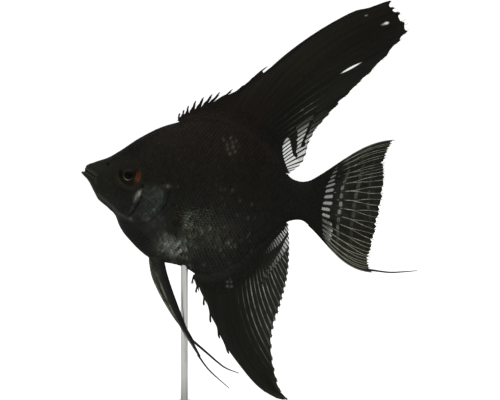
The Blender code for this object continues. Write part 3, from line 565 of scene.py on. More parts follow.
    # painted light: brighter towards the belly, where the skin faces down and gets less light, and along the back
    # behind the dorsal fin's start, against the shade in the crease at its root
    belly, back = w - smooth(BELLY, u), smooth(BACK, u) - w
    t = t * (1 + 0.34 * step(7.5, 0.5, belly) * step(20, 28, u) * step(62, 54, u))
    t = t * (1 + 0.07 * step(2.2, 0.2, back) * step(29, 33, u))
    rgb = PLAIN * np.ones(u.shape + (1,))
    for hue, much in ((np.array([1.045, 1.01, 0.845]), 0.95 * step(-7, -1, w) * step(70, 60, u)),
                      (WARM, step(6, 14, w) * step(14, 22, u) * 0.9),
                      (np.array([1.03, 1.04, 0.84]), 0.8 * blob(u, w, 47.0, 15.0, 2.6, 3.2)),
                      (OLIVE, 0.8 * step(10, 4, u)),
                      (OLIVE, 0.7 * blob(u, w, 42, -15, 9, 7)),
                      (OLIVE, 0.8 * bump(oval, 1.0)),
                      (TEAL, blob(u, w, 24.4, -6.2, 4.6, 5.2)),
                      (TEAL * 0.98, 0.8 * blob(u, w, 34.6, -18.2, 3.4, 1.4)),
                      (np.array([0.95, 1.09, 0.93]), blob(u, w, 36.4, -11.3, 1.4, 2.3)),
                      (np.array([1.14, 0.98, 0.93]), 0.8 * blob(u, w, 52.6, -14.0, 1.6, 1.3)),
                      (COOL, 0.8 * blob(u, w, 32.6, -21.6, 4.2, 3.2))):
        much = np.clip(much, 0, 1)[..., None]
        rgb = rgb * (1 - much) + hue * much
    return np.clip(t, 6, 200)[..., None] * rgb


def netting(u, w):
    """How strongly the scales show pale rims round dark middles, 0 to 1."""
    n = 0.2 + 0.65 * step(2, -7, w) * step(28, 33, u) * step(62, 54, u)
    n = n * (1 - 0.55 * blob(u, w, 35.5, -12.5, 5.0, 6.0))
    edge = np.minimum(smooth(BACK, u) - w, w - smooth(BELLY, u))
    return n * step(9, 20, u) * (0.25 + 0.75 * step(0.5, 5.0, edge))


def base_spots(u, w):
    """Five round pale spots over the root of the anal fin: tone they add."""
    return sum(gain * bump(np.hypot(u - su, w - sw), size) for su, sw, size, gain in BASE_SPOTS)


def dorsal_marks(ray, s, length):
    """Clear windows (signed distance inside, mm), how clear they are, and the web's tone."""
    a0 = line([(27.3, 7.0), (28.5, 5.0), (31, 3.15), (33.4, 1.9), (37, 0.6)], ray)
    a1 = line([(27.3, 8.3), (28, 8.4), (30.3, 7.2), (33.1, 5.6), (34.2, 5.9), (35, 8), (37, 8)], ray)
    z1 = np.minimum(np.minimum(s - a0, a1 - s), (ray - 27.2) * 0.7)
    b0 = line([(24, 14.0), (26, 12.8), (27.4, 12.2), (29, 10.9), (30, 9.9), (31.6, 8.6), (33.0, 7.2),
               (33.8, 6.2), (34.6, 5.4), (37, 5)], ray)
    streak = line([(24, 26), (26, 20.5), (27.4, 17.5), (30, 13.9), (32.1, 10.3), (33.4, 8.6), (37, 6)], ray)
    clear = step(32.6, 33.6, ray) * 30
    ragged = 0.5 * wobble(ray * 1.7, 61)
    z2 = np.minimum(np.minimum(s - b0 + ragged, streak - 0.7 + clear - s), (ray - 25.4) * 0.5)
    z3 = np.minimum(np.minimum(s - streak - 0.75 - ragged, length - 0.3 - s), (ray - 27.2) * 0.5)
    z3 = np.where(ray > 33.6, -5.0, z3)
    z2 = np.minimum(z2, length - 0.12 - s)
    slit = (0.40 * (1 - ((s - 40) / 4.4) ** 2) - np.abs(ray - SLIT) * 2.0)
    slit = np.minimum(slit, np.minimum(s - 35.6, 44.4 - s))
    spot1 = 0.4 - np.hypot((ray - 14.7) * 2.6, (s - 57.6) * 0.4)
    spot2 = 0.46 - np.hypot((ray - SPOT) * 2.6, (s - 59.6) * 0.34)
    tear = 0.4 - np.hypot((ray - 17.3) * 2.2, (length - 1.3 - s) * 0.4)
    zones = np.stack([z1, z2, z3, slit, spot1, spot2, tear])
    best = np.argmax(zones, 0)
    win = np.max(zones, 0)
    much = np.stack([np.full(ray.shape, 0.8) - 0.25 * step(29.5, 27.5, ray),
                     line([(25, 0.05), (26.5, 0.14), (27.6, 0.34), (29, 0.58), (31, 0.68), (34, 0.82)], ray)
                     * (0.85 + 0.15 * wobble(s * 0.8 + 6 * ray, 62)),
                     line([(27.5, 0.06), (29, 0.12), (30.4, 0.28), (31.4, 0.6), (33, 0.8)], ray)
                     * line([(0, 1), (0.8, 1), (1, 0.8)], s / length),
                     np.ones(ray.shape), np.full(ray.shape, 0.4), np.full(ray.shape, 0.9),
                     np.full(ray.shape, 0.35)])
    much = np.take_along_axis(much, best[None], 0)[0]
    r = s / length
    t = 23.5 + 6.0 * bump(ray - 12.9, 1.5) * step(0.15, 0.5, r) + 3.4 * blob(ray, r, 15.6, 0.5, 3.0, 0.22)
    t += 3.0 * bump(ray - 8, 3.5) * step(0.5, 0.0, r) - 4.6 * blob(ray, r, 23, 0.22, 5.5, 0.22)
    t += 4.0 * blob(ray, r, 24, 0.8, 3.4, 0.22) - 1.5 * blob(ray, r, 18.5, 0.85, 2.4, 0.14)
    t += 3.5 * step(0.93, 1.0, r) * step(16, 20, ray)
    t += 2.4 * wobble(ray * 2.9 + 0.02 * s, 3) * step(4, 14, s) + 1.2 * wobble(s * 0.3 + 7 * ray, 5)
    t -= 3.0 * step(27.0, 30.0, ray) * step(1.5, 0.0, np.abs(s - streak))
    greenish = step(17, 20, ray)[..., None]
    out = (step(5, 14, s) + 0 * ray)[..., None]
    brown = np.array([1.105, 0.99, 0.86]) * (1 - out) + np.array([1.05, 1.0, 0.855]) * out
    rgb = brown * (1 - greenish) + OLIVE * greenish
    rgb = rgb + 0.03 * wobble(ray * 1.3 + 2, 9)[..., None] * np.array([1, 0, -1])
    return win, much, t[..., None] * rgb


def anal_marks(ray, s, length):
    e0 = line([(20, 2.3), (22, 1.7), (29, 1.0), (31.5, 0.5)], ray)
    e1 = line([(20, 2.7), (22, 3.5), (26, 3.7), (29, 3.0), (31, 2.2)], ray)
    z1 = np.minimum(np.minimum(s - e0, e1 - s), (ray - 20.0) * 0.5)
    c2 = line([(18.3, 10.7), (20.2, 8.8), (21.7, 8.0), (25.7, 6.4), (28.4, 4.8), (30, 3.9)], ray)
    h2 = line([(18, 0.5), (21, 0.8), (26, 0.95), (28.4, 0.95), (30.4, 0.3)], ray)
    z2 = np.minimum(h2 - np.abs(s - c2), (ray - 17.6) * 0.5)
    win = np.maximum(z1, z2)
    much = np.where(z1 > z2, line([(20, 0.05), (22.5, 0.13), (24.6, 0.3), (26, 0.42), (28, 0.6), (31, 0.66)], ray),
                    line([(18, 0.06), (20, 0.16), (22.3, 0.26), (25, 0.38), (27.5, 0.75), (30, 0.7)], ray))
    much = much * (0.85 + 0.15 * wobble(s * 0.9 + 5 * ray, 63))
    r = s / length
    rear = step(9.5, 15.0, ray)
    t = 26.0 + 2.5 * step(0.3, 0.9, r) + rear * (3.5 * step(0.1, 0.5, r) + 5.0 * step(0.5, 1.0, r))
    t += 2.0 * blob(ray, s, 3, 5, 3, 5) + 4.5 * step(0.3, 0.75, r) * step(11.0, 8.0, ray)
    t -= 1.8 * step(4, 0, s) * step(16, 20, ray) + 1.0 * wobble(s * 0.3 + 5 * ray, 15) - 1.6 * wobble(ray * 2.1, 13)
    t += 40 * bump(length - s - 0.8, 2.2) * bump(ray - 8.5, 1.6) * (0.75 + 0.4 * wobble(9 * ray + 2 * s, 16))
    rgb = PLAIN + (OLIVE - PLAIN) * 0.5 * np.ones(ray.shape + (1,))
    return win, much, t[..., None] * rgb


def caudal_arc(ray):
    """Where the scaled base ends and the first row of clear dashes starts, mm from the root."""
    return line([(1, 9.0), (2.5, 7.2), (3.4, 6.3), (4.3, 5.6), (5.3, 4.7), (6.85, 4.4), (8.1, 4.0),
                 (9.4, 3.8), (10.6, 3.5), (12.1, 4.0), (13.25, 4.4), (14.5, 5.0), (16, 6.0), (17, 8.4)], ray)


def caudal_marks(ray, s, length):
    c0 = caudal_arc(ray)
    c1 = line([(1, 9.2), (2.5, 8.8), (4.3, 7.6), (5.65, 7.8), (6.75, 7.3), (7.85, 6.9), (9.3, 6.8), (10.9, 6.3),
               (12.3, 6.6), (13.35, 8.1), (14.2, 8.8), (15.5, 9.4), (17, 9.0)], ray)
    f = caudal_index(ray, s) % 1.0
    lens = 0.7 * np.sin(np.pi * f)
    slim = (0.27 - np.abs(f - 0.5)) * 2.2
    arcs = [(np.minimum(np.minimum(s - c0 - 0.6 + lens, c1 - s + lens - 0.5), slim),
             line([(1, 0.08), (2.2, 0.2), (4, 0.32), (7, 0.42), (10, 0.45), (14, 0.4), (15.5, 0.5), (16.5, 0.2)], ray))]
    middle = [(4, 13.0), (5.7, 11.4), (7, 10.3), (8.15, 9.8), (9.4, 9.7), (11.15, 9.5), (12.2, 9.7), (13.4, 10.1),
              (15, 11.5), (17, 13)]
    arcs.append((0.62 * np.sin(np.pi * f) ** 0.5 - np.abs(s - line(middle, ray)),
                 line([(3, 0.06), (5.7, 0.17), (7, 0.3), (8.15, 0.22), (9.4, 0.34), (11.1, 0.3), (12.2, 0.14),
                       (13.4, 0.22), (14.5, 0.1), (16, 0.05)], ray)))
    middle = [(4, 18.2), (6.3, 16.6), (7.2, 15.8), (8.3, 14.7), (9.5, 14.1), (11.1, 14.3), (12.4, 14.3), (14, 15.5),
              (17, 17)]
    arcs.append((0.7 * np.sin(np.pi * f) ** 0.5 - np.abs(s - line(middle, ray)),
                 line([(3, 0.04), (6.3, 0.1), (8.3, 0.15), (9.5, 0.1), (11.1, 0.11), (12.4, 0.07), (15, 0.03)], ray)))
    middle = [(4, 21.8), (5.7, 20.7), (7.5, 19.5), (8.5, 18.9), (9.8, 18.7), (10.9, 19.9), (14, 20.5), (17, 21)]
    arcs.append((0.6 - np.abs(s - line(middle, ray)) + 0.25 * wobble(7 * f + 3 * ray, 64),
                 line([(3, 0.02), (5.7, 0.06), (8.5, 0.08), (9.8, 0.12), (10.9, 0.05), (13, 0.02)], ray)))
    best = np.argmax(np.stack([a for a, _ in arcs]), 0)
    win = np.max(np.stack([a for a, _ in arcs]), 0)
    much = np.take_along_axis(np.stack([b for _, b in arcs]), best[None], 0)[0]
    much = much * (1 - 0.45 * step(12.2, 13.0, ray) * step(c0 + 3.5, c0 + 2.5, s))
    t = 27.0 + 5.5 * step(4.5, 1.5, ray) + 12 * step(13.0, 16.0, ray) * step(6, 12, s)
    t += 5.2 * wobble(s * 0.8 + 9 * ray, 65) + 2.4 * wobble(ray * 3.1, 66) - 4 * step(3, 0, np.abs(s - c1 - 0.9))
    t += 4.0 * wobble(s * 2.1 + 13 * ray, 67) * step(c0 + 1, c0 + 3, s)
    t += 5.5 * step(c0 + 2.4, c0 + 4, s) * step(c0 + 9, c0 + 7, s) * step(4, 6, ray) * step(13, 11, ray)
    t = t + (22.5 - t) * 0.9 * step(c0 + 0.5, c0 - 0.6, s)
    rgb = PLAIN + (OLIVE - PLAIN) * 0.7 * np.ones(ray.shape + (1,))
    return win, much, t[..., None] * rgb


def pectoral_marks(ray, s, length):
    out = step(0.2, 2.8, s)
    # painted highlight: paler towards the tips of the upper rays, along the fin's upper margin
    t = 29 + 13 * out + 14 * step(0.6, 0.95, s / length) * step(7, 2, ray)
    return np.full(ray.shape, 1.0), 0.96 * out, t[..., None] * OLIVE * np.ones(ray.shape + (1,))


def pelvic_marks(pale):
    def marks(ray, s, length):
        if pale:
            t = 50 + 9 * wobble(s * 0.9 + 3 * ray, 21) + 34 * bump(ray - 0.1, 0.45) - 10 * step(0, 3, ray)
            t = t + 7 * wobble(s * 2.6 + 7 * ray, 23) + 16 * bump(ray - 3.6 + 0.8 * wobble(s * 0.5, 24), 0.4)
            t = t - 12 * bump(s - 15, 7)
            t = t + 6 * step(24, 30, s) - 8 * step(5, 0, s)
            return np.full(ray.shape, 1.0), np.full(ray.shape, 0.1), t[..., None] * np.array([1.0, 1.04, 0.88])
        t = 36 + 3 * wobble(s * 0.6 + 2 * ray, 22) + 4 * wobble(s * 2.3 + 5 * ray, 25) \
            + 26 * bump(ray - 0.25, 0.35) * step(2, 5, s) \
            - 9 * step(1.0, 4.0, ray) + 8 * step(20, 32, s)
        warm = np.clip(ray / 5, 0, 1)[..., None]
        return np.full(ray.shape, -5.0), np.full(ray.shape, 0.0), t[..., None] * (
            np.array([1.02, 1.02, 0.88]) * (1 - warm) + np.array([1.0, 0.995, 1.03]) * warm)
    return marks


# ------------------------------------------------------------------ mesh building
def build_mesh(name, co, polys, uv=None, colour=None, fields=None):
    """A mesh from arrays.  polys is a list of (count, n) index arrays."""
    me = bpy.data.meshes.new(name)
    polys = [np.asarray(q, np.int32) for q in polys if len(q)]
    sizes = np.concatenate([np.full(len(q), q.shape[1]) for q in polys])
    index = np.concatenate([q.ravel() for q in polys])
    me.vertices.add(len(co))
    me.vertices.foreach_set("co", np.asarray(co, np.float32).ravel())
    me.loops.add(len(index))
    me.loops.foreach_set("vertex_index", index)
    me.polygons.add(len(sizes))
    me.polygons.foreach_set("loop_start", np.concatenate([[0], np.cumsum(sizes)[:-1]]).astype(np.int32))
    me.update(calc_edges=True)
    me.validate()
    if uv is not None:
        layer = me.uv_layers.new(name="OFBake")
        layer.data.foreach_set("uv", np.asarray(uv, np.float32)[index].ravel())
    if colour is not None:
        put_colour(me, colour)
    for key, values in (fields or {}).items():
        at = me.attributes.new(key, "FLOAT", "POINT")
        at.data.foreach_set("value", np.asarray(values, np.float32))
    me.shade_smooth()
    return me


def put_colour(me, colour):
    at = me.attributes.new("dye", "FLOAT_COLOR", "POINT")
    rgba = np.concatenate([colour, np.ones((len(colour), 1))], 1)
    at.data.foreach_set("color", rgba.astype(np.float32).ravel())


def add_object(name, me, mat=None, slot=None):
    obj = bpy.data.objects.new(name, me)
    bpy.context.scene.collection.objects.link(obj)
    if mat is not None:
        me.materials.append(mat)
    if slot:
        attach(obj, "root")
    return obj


def grid_faces(rows, cols, wrap=False):
    """Quads of a grid whose vertex (i, j) is number i * cols + j."""
    i, j = np.meshgrid(np.arange(rows - 1), np.arange(cols if wrap else cols - 1), indexing="ij")
    k = (j + 1) % cols
    return np.stack([i * cols + j, i * cols + k, (i + 1) * cols + k, (i + 1) * cols + j], -1).reshape(-1, 4)


def outward(me):
    """Turns a closed mesh's faces outwards."""
    bm = bmesh.new()
    bm.from_mesh(me)
    bmesh.ops.recalc_face_normals(bm, faces=bm.faces)
    if bm.calc_volume(signed=True) < 0:
        bmesh.ops.reverse_faces(bm, faces=bm.faces)
    bm.to_mesh(me)
    bm.free()


# ------------------------------------------------------------------ one skin
def warp(t):
    """Even steps -1 to 1 as angles, bunched a little towards back and belly."""
    return 0.5 * t * math.pi / 2 + 0.5 * np.arcsin(np.clip(t, -1, 1))


def make_body():
    u = np.concatenate([[-0.8, -0.77, -0.72, -0.64, -0.52, -0.38, -0.2, 0.0, 0.15],
                        np.linspace(0.27, 0.47, 6), np.linspace(0.6, 8.0, 48),
                        np.linspace(8.22, 30.0, 100), np.linspace(30.45, 76.0, 84),
                        [76.3, 76.6, 76.9, BODY_END]])
    half = 116
    a = warp(np.linspace(-1, 1, half + 1))
    angle = np.concatenate([a, a[-2:0:-1]])
    side = np.concatenate([-np.ones(half + 1), np.ones(half - 1)])
    U, A = np.meshgrid(u, angle, indexing="ij")
    SD = np.broadcast_to(side, U.shape)
    p, _ = body_skin(U, A, SD)
    # the very tip rounds off, and the root of the tail closes
    for i, share in ((0, 0.3), (1, 0.62), (2, 0.82), (3, 0.93), (4, 0.98)):
        mid = p[i].mean(0)
        p[i, :, 1:] = mid[1:] + (p[i, :, 1:] - mid[1:]) * share
    n = U.shape[1]
    co = p.reshape(-1, 3)
    faces = grid_faces(len(u), n, wrap=True)
    ends = np.stack([p[0].mean(0), p[-1].mean(0) + np.array([0.1, 0, 0])])
    co = np.concatenate([co, ends])
    j = np.arange(n)
    first, last = len(co) - 2, len(co) - 1
    caps = np.concatenate([np.stack([np.full(n, first), (j + 1) % n, j], 1),
                           np.stack([np.full(n, last), (len(u) - 1) * n + j,
                                     (len(u) - 1) * n + (j + 1) % n], 1)])
    me = build_mesh("skin", world(co), [faces, caps])
    outward(me)
    # arc length up and down each section, for the unwrap
    base = body_point(U, A, SD)[:, :half + 1]
    arc = np.concatenate([np.zeros((len(u), 1)),
                          np.cumsum(np.linalg.norm(np.diff(base, axis=1), axis=-1), 1)], 1)
    middle = np.array([np.interp(0, a, row) for row in arc])
    arc = arc - middle[:, None] + section(u)[3][:, None]
    arc = np.concatenate([arc, arc[:, -2:0:-1]], 1).reshape(-1)
    arc = np.concatenate([arc, [0, 0]])
    flat = body_point(U, A, SD).reshape(-1, 3)
    tone = body_tone(flat[:, 0], flat[:, 2])
    tone = np.concatenate([tone, tone[:1], tone[-1:]])
    return me, dict(co=co, part=np.zeros(len(co)), arc=arc, tone=tone, ray=np.zeros(len(co)),
                    win=np.full(len(co), -5.0), clear=np.zeros(len(co)), frost=np.ones(len(co)))


def fin_grid(point, rays, rows, share=None, reach=0.0):
    """Middle surface of a web: points (column, row), distance along each ray, its length."""
    near = np.array([0.0, 0.22, 0.45, 0.75, 1.15, 1.7])
    probe = np.linspace(0, 1, 60)
    R, S = np.meshgrid(rays, probe, indexing="ij")
    P, chord = point(R, S)
    cut = share(rays, chord[:, 0]) if share else np.ones(len(rays))
    P, _ = point(R, S * cut[:, None])
    run = np.concatenate([np.zeros((len(rays), 1)),
                          np.cumsum(np.linalg.norm(np.diff(P, axis=1), axis=-1), 1)], 1)
    length = run[:, -1]
    s = np.empty((len(rays), rows))
    for i in range(len(rays)):
        squeeze = min(1.0, length[i] / 7.0)
        head = near * squeeze
        s[i] = np.concatenate([head, np.linspace(head[-1], length[i], rows - len(near) + 1)[1:]])
    r = np.stack([np.interp(s[i], run[i], probe * cut[i]) for i in range(len(rays))])
    R = np.broadcast_to(rays[:, None], r.shape)
    P, _ = point(R, r)
    return P, s, length, R


def grid_normal(P):
    du, dv = np.gradient(P, axis=0), np.gradient(P, axis=1)
    n = unit(np.cross(du, dv))
    return n * -np.sign(n[..., 1:2] + 1e-9)  # towards the left side


def web_thickness(s, length, root=1.25, edge=0.12, mid=0.25, flare=0.85, swell=0.0, soft=1.6):
    rise = np.clip(1 - s / length, 0, 1)
    t = edge + (mid - edge) * rise + (root - mid) * np.exp(-(np.maximum(s, 0) / flare) ** soft)
    return t + swell * (root - mid) * np.clip(-s, 0, 1.6)


def make_web(name, part, point, rays, rows, marks, index, share=None, thick=None, sink=(0.6, 1.5),
             inward=(0.0, 0.0, 0.0)):
    P, s, length, R = fin_grid(point, rays, rows, share)
    N = grid_normal(P)
    K = index(R, s)
    # rows that run down into the body
    start = unit(P[:, 1] - P[:, 0])
    under = [P[:, 0] - start * d + np.asarray(inward) * d for d in sink[::-1]]
    P = np.concatenate([np.stack(under, 1), P], 1)
    N = np.concatenate([N[:, :1]] * len(sink) + [N], 1)
    s = np.concatenate([-np.array(sink[::-1])[None, :] * np.ones((len(rays), 1)), s], 1)
    R = np.concatenate([R[:, :1]] * len(sink) + [R], 1)
    K = np.concatenate([K[:, :1]] * len(sink) + [K], 1)
    form = thick(R) if callable(thick) else (thick or {})
    t = web_thickness(s, length[:, None], **form)
    t = t * (1 - 0.25 * np.sin(np.pi * (K % 1.0)) ** 2 * step(3.0, 6.0, s))
    left, right = P + N * t[..., None] / 2, P - N * t[..., None] / 2
    cols, n = P.shape[:2]
    co = np.concatenate([left.reshape(-1, 3), right.reshape(-1, 3)])
    one = grid_faces(cols, n)
    two = one[:, ::-1] + cols * n
    rim = np.concatenate([np.arange(n), np.arange(1, cols) * n + n - 1,
                          (cols - 1) * n + np.arange(n - 2, -1, -1), np.arange(cols - 2, 0, -1) * n])
    nxt = np.roll(rim, -1)
    edge = np.stack([nxt, rim, rim + cols * n, nxt + cols * n], 1)
    me = build_mesh(name, world(co), [one, two, edge])
    outward(me)
    win, clear, tone = marks(R, np.maximum(s, 0), length[:, None])
    tone = tone + base_spots(P[..., 0], P[..., 2])[..., None]
    win = np.where(s < 0.05, -1.0, win)
    frost = np.full(len(co), 0.0 if name.startswith("pectoral") else 1.0)
    twice = lambda x: np.concatenate([x.reshape(len(x) * n, -1)] * 2) if x.ndim == 3 \
        else np.concatenate([x.ravel()] * 2)
    return me, dict(co=co, part=np.full(len(co), float(part)), arc=np.zeros(len(co)), ray=twice(K),
                    win=twice(win), clear=twice(clear), tone=twice(tone), frost=frost)


def join_solids(body, others):
    """One closed skin: the fins are united with the body."""
    obj = add_object("skin", body)
    for me in others:
        tool = add_object("tool", me)
        m = obj.modifiers.new("unite", "BOOLEAN")
        m.operation, m.solver, m.object = "UNION", "MANIFOLD", tool
        graph = bpy.context.evaluated_depsgraph_get()
        done = bpy.data.meshes.new_from_object(obj.evaluated_get(graph))
        obj.modifiers.clear()
        obj.data = done
        bpy.data.objects.remove(tool)
    return obj


SPINE_STEPS = (0.0, 0.1, 0.32, 0.6, 0.86)
DORSAL_COLUMNS = np.unique(np.round(np.concatenate(
    [[k + f for k in range(1, 12) for f in SPINE_STEPS], 12 + np.arange(14) / 14,
     dorsal_place(13 + np.arange(0, 4, 1 / 8)), dorsal_place(17 + np.arange(0, DORSAL_COUNT - 4 + 0.01, 0.2)),
     np.arange(16.0, 16.5, 0.125), np.arange(19.3, 20.6, 0.1), [37.0]]), 4))
DORSAL_COLUMNS = DORSAL_COLUMNS[np.concatenate([[True], np.diff(DORSAL_COLUMNS) > 0.03])]
ANAL_COLUMNS = np.concatenate([[k + f for k in range(1, 6) for f in SPINE_STEPS],
                               6 + np.arange(12) / 12, anal_place(7 + np.arange(0, 2, 1 / 8)),
                               anal_place(9 + np.arange(0, ANAL_COUNT - 2 + 0.01, 0.2))])
CAUDAL_COLUMNS = np.unique(np.round(np.interp(np.arange(0, len(CAUDAL_RAYS) - 1 + 0.01, 0.2),
                                              np.arange(len(CAUDAL_RAYS)), CAUDAL_RAYS), 4))
PECTORAL_COLUMNS = np.arange(1.0, 12.01, 0.25)
PELVIC_COLUMNS = np.linspace(0.0, 5.0, 13)


def dorsal_share(ray, chord):
    torn = np.clip(wobble(ray * 1.9, 78), 0, 1) * step(17, 21, ray) * step(36, 33, ray)
    torn = torn + 1.1 * bump(ray - 17.2, 0.3) + 0.8 * bump(ray - 22.4, 0.35) + 0.7 * bump(ray - 26.1, 0.3)
    return edge_share(ray, dorsal_index(ray), DORSAL_NOTCH, chord, DORSAL_SPINES, 1.1) - 0.8 * torn / chord


def anal_share(ray, chord):
    return edge_share(ray, anal_index(ray), ANAL_NOTCH, chord, ANAL_SPINES)


def caudal_share(ray, chord):
    f = caudal_index(ray, chord) % 1.0
    near = np.minimum(np.abs(f - 0.25), np.abs(f - 0.75))
    torn = np.clip(wobble(ray * 1.7, 79), 0, 1)
    return 1 - (0.75 * step(0.0, 0.25, near) + 0.5 * torn + 0.9 * bump(ray - 4.6, 0.25)) / chord


def pectoral_thick(ray):
    across = np.sin(np.pi * np.clip((ray - 0.7) / 11.6, 0, 1)) ** 0.6
    return dict(root=0.24 + 0.95 * across, edge=0.1, mid=0.2, flare=1.3)


def dorsal_thick(ray):
    return dict(root=1.5 - 0.45 * step(30, 37, ray), flare=2.6, soft=1.0)


def anal_thick(ray):
    return dict(root=1.5 - 0.45 * step(25, 32, ray), flare=2.6, soft=1.0)


def caudal_thick(ray):
    middle = np.clip(1 - np.abs(ray - 9) / 8.2, 0, 1) ** 0.6
    return dict(root=0.75 + 1.2 * middle, edge=0.1, mid=0.24, flare=3.4, swell=0.3 * middle, soft=1.2)


FINS = [
    dict(name="dorsal", part=1, point=dorsal, rays=DORSAL_COLUMNS, rows=36, marks=dorsal_marks,
         index=dorsal_index, share=dorsal_share, thick=dorsal_thick, sink=(0.9, 2.4)),
    dict(name="anal", part=2, point=anal, rays=ANAL_COLUMNS, rows=34, marks=anal_marks,
         index=anal_index, share=anal_share, thick=anal_thick, sink=(0.9, 2.4)),
    dict(name="caudal", part=3, point=caudal, rays=CAUDAL_COLUMNS, rows=36, marks=caudal_marks,
         index=caudal_index, share=caudal_share, thick=caudal_thick),
    dict(name="pelvic_left", part=4, point=pelvic(PELVIC_LEFT), rays=PELVIC_COLUMNS, rows=46,
         marks=pelvic_marks(False), index=no_index, thick=dict(root=1.2, edge=0.14, mid=0.3, flare=1.2),
         sink=(0.9, 2.4), inward=(0.0, 0.45, 0.1)),
    dict(name="pelvic_right", part=5, point=pelvic(PELVIC_RIGHT), rays=PELVIC_COLUMNS, rows=46,
         marks=pelvic_marks(True), index=no_index, thick=dict(root=1.2, edge=0.14, mid=0.3, flare=1.2),
         sink=(0.9, 2.4), inward=(0.0, -0.45, 0.1)),
    dict(name="pectoral_left", part=6, point=pectoral(-1), rays=PECTORAL_COLUMNS, rows=22,
         marks=pectoral_marks, index=no_index, thick=pectoral_thick, sink=(0.5, 1.1), inward=(0.2, 1.1, 0)),
    dict(name="pectoral_right", part=7, point=pectoral(1), rays=PECTORAL_COLUMNS, rows=22,
         marks=pectoral_marks, index=no_index, thick=pectoral_thick, sink=(0.5, 1.1), inward=(0.2, -1.1, 0)),
]

# The unwrap, in mm of the fish's own side: where each part's island is shifted to
ISLAND = {0: (0.0, 0.0), 1: (0.0, 7.0), 2: (0.0, -7.0), 3: (2.0, 0.0), 4: (-25.0, -9.0),
          5: (-25.0, 97.0), 6: (-30.0, 46.0), 7: (-30.0, 46.0)}
SHEET = 250.0  # mm across the whole unwrap


def unwrap(u, v, part, side):
    """Place on the unwrap, 0 to 1: the left side's islands lie left, the right side's right."""
    shift = np.array([ISLAND[int(k)] for k in range(8)])[np.asarray(part, int)]
    x = u + shift[..., 0] + 3.0 + np.where(side > 0, SHEET / 2, 0.0)
    y = v + shift[..., 1] + 82.0
    return np.stack([x, y], -1) / SHEET


def make_skin():
    body, data = make_body()
    meshes, parts = [], [data]
    for fin in FINS:
        me, more = make_web(**fin)
        meshes.append(me)
        parts.append(more)
    keys = ("co", "part", "arc", "ray", "win", "clear", "tone", "frost")
    all_of = {k: np.concatenate([p[k] for p in parts]) for k in keys}
    obj = join_solids(body, meshes)
    me = obj.data
    co = np.empty(len(me.vertices) * 3, np.float32)
    me.vertices.foreach_get("co", co)
    co = co.reshape(-1, 3)
    here = world(all_of["co"])
    tree = KDTree(len(here))
    for k, p in enumerate(here):
        tree.insert(p, k)
    tree.balance()
    near = np.array([tree.find(p)[1] for p in co.astype(float)])
    for name in list(me.attributes.keys()):
        if name in ("dye", "ray", "win", "clear", "frost"):
            me.attributes.remove(me.attributes[name])
    put_colour(me, albedo(all_of["tone"][near]))
    for key in ("ray", "win", "clear", "frost"):
        at = me.attributes.new(key, "FLOAT", "POINT")
        at.data.foreach_set("value", all_of[key][near].astype(np.float32))
    # unwrap: arc length on the body, the fin's own plane on a fin
    loops, nf = len(me.loops), len(me.polygons)
    index = np.empty(loops, np.int32)
    me.loops.foreach_get("vertex_index", index)
    total = np.empty(nf, np.int32)
    me.polygons.foreach_get("loop_total", total)
    normal = np.empty(nf * 3, np.float32)
    me.polygons.foreach_get("normal", normal)
    face = np.repeat(np.arange(nf), total)
    part = all_of["part"][near]
    starts = np.concatenate([[0], np.cumsum(total)[:-1]])
    kind = np.maximum.reduceat(part[index], starts)
    side = np.sign(normal.reshape(-1, 3)[:, 1])
    fish = all_of["co"][near][index]
    v = np.where((kind[face] == 0), all_of["arc"][near][index], fish[:, 2])
    uv = unwrap(fish[:, 0], v, kind[face], side[face])
    for layer in list(me.uv_layers):
        me.uv_layers.remove(layer)
    me.uv_layers.new(name="OFBake").data.foreach_set("uv", uv.astype(np.float32).ravel())
    me.shade_smooth()
    me.materials.clear()
    me.materials.append(skin_material())
    obj.name = me.name = "skin"
    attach(obj, "root")
    return obj


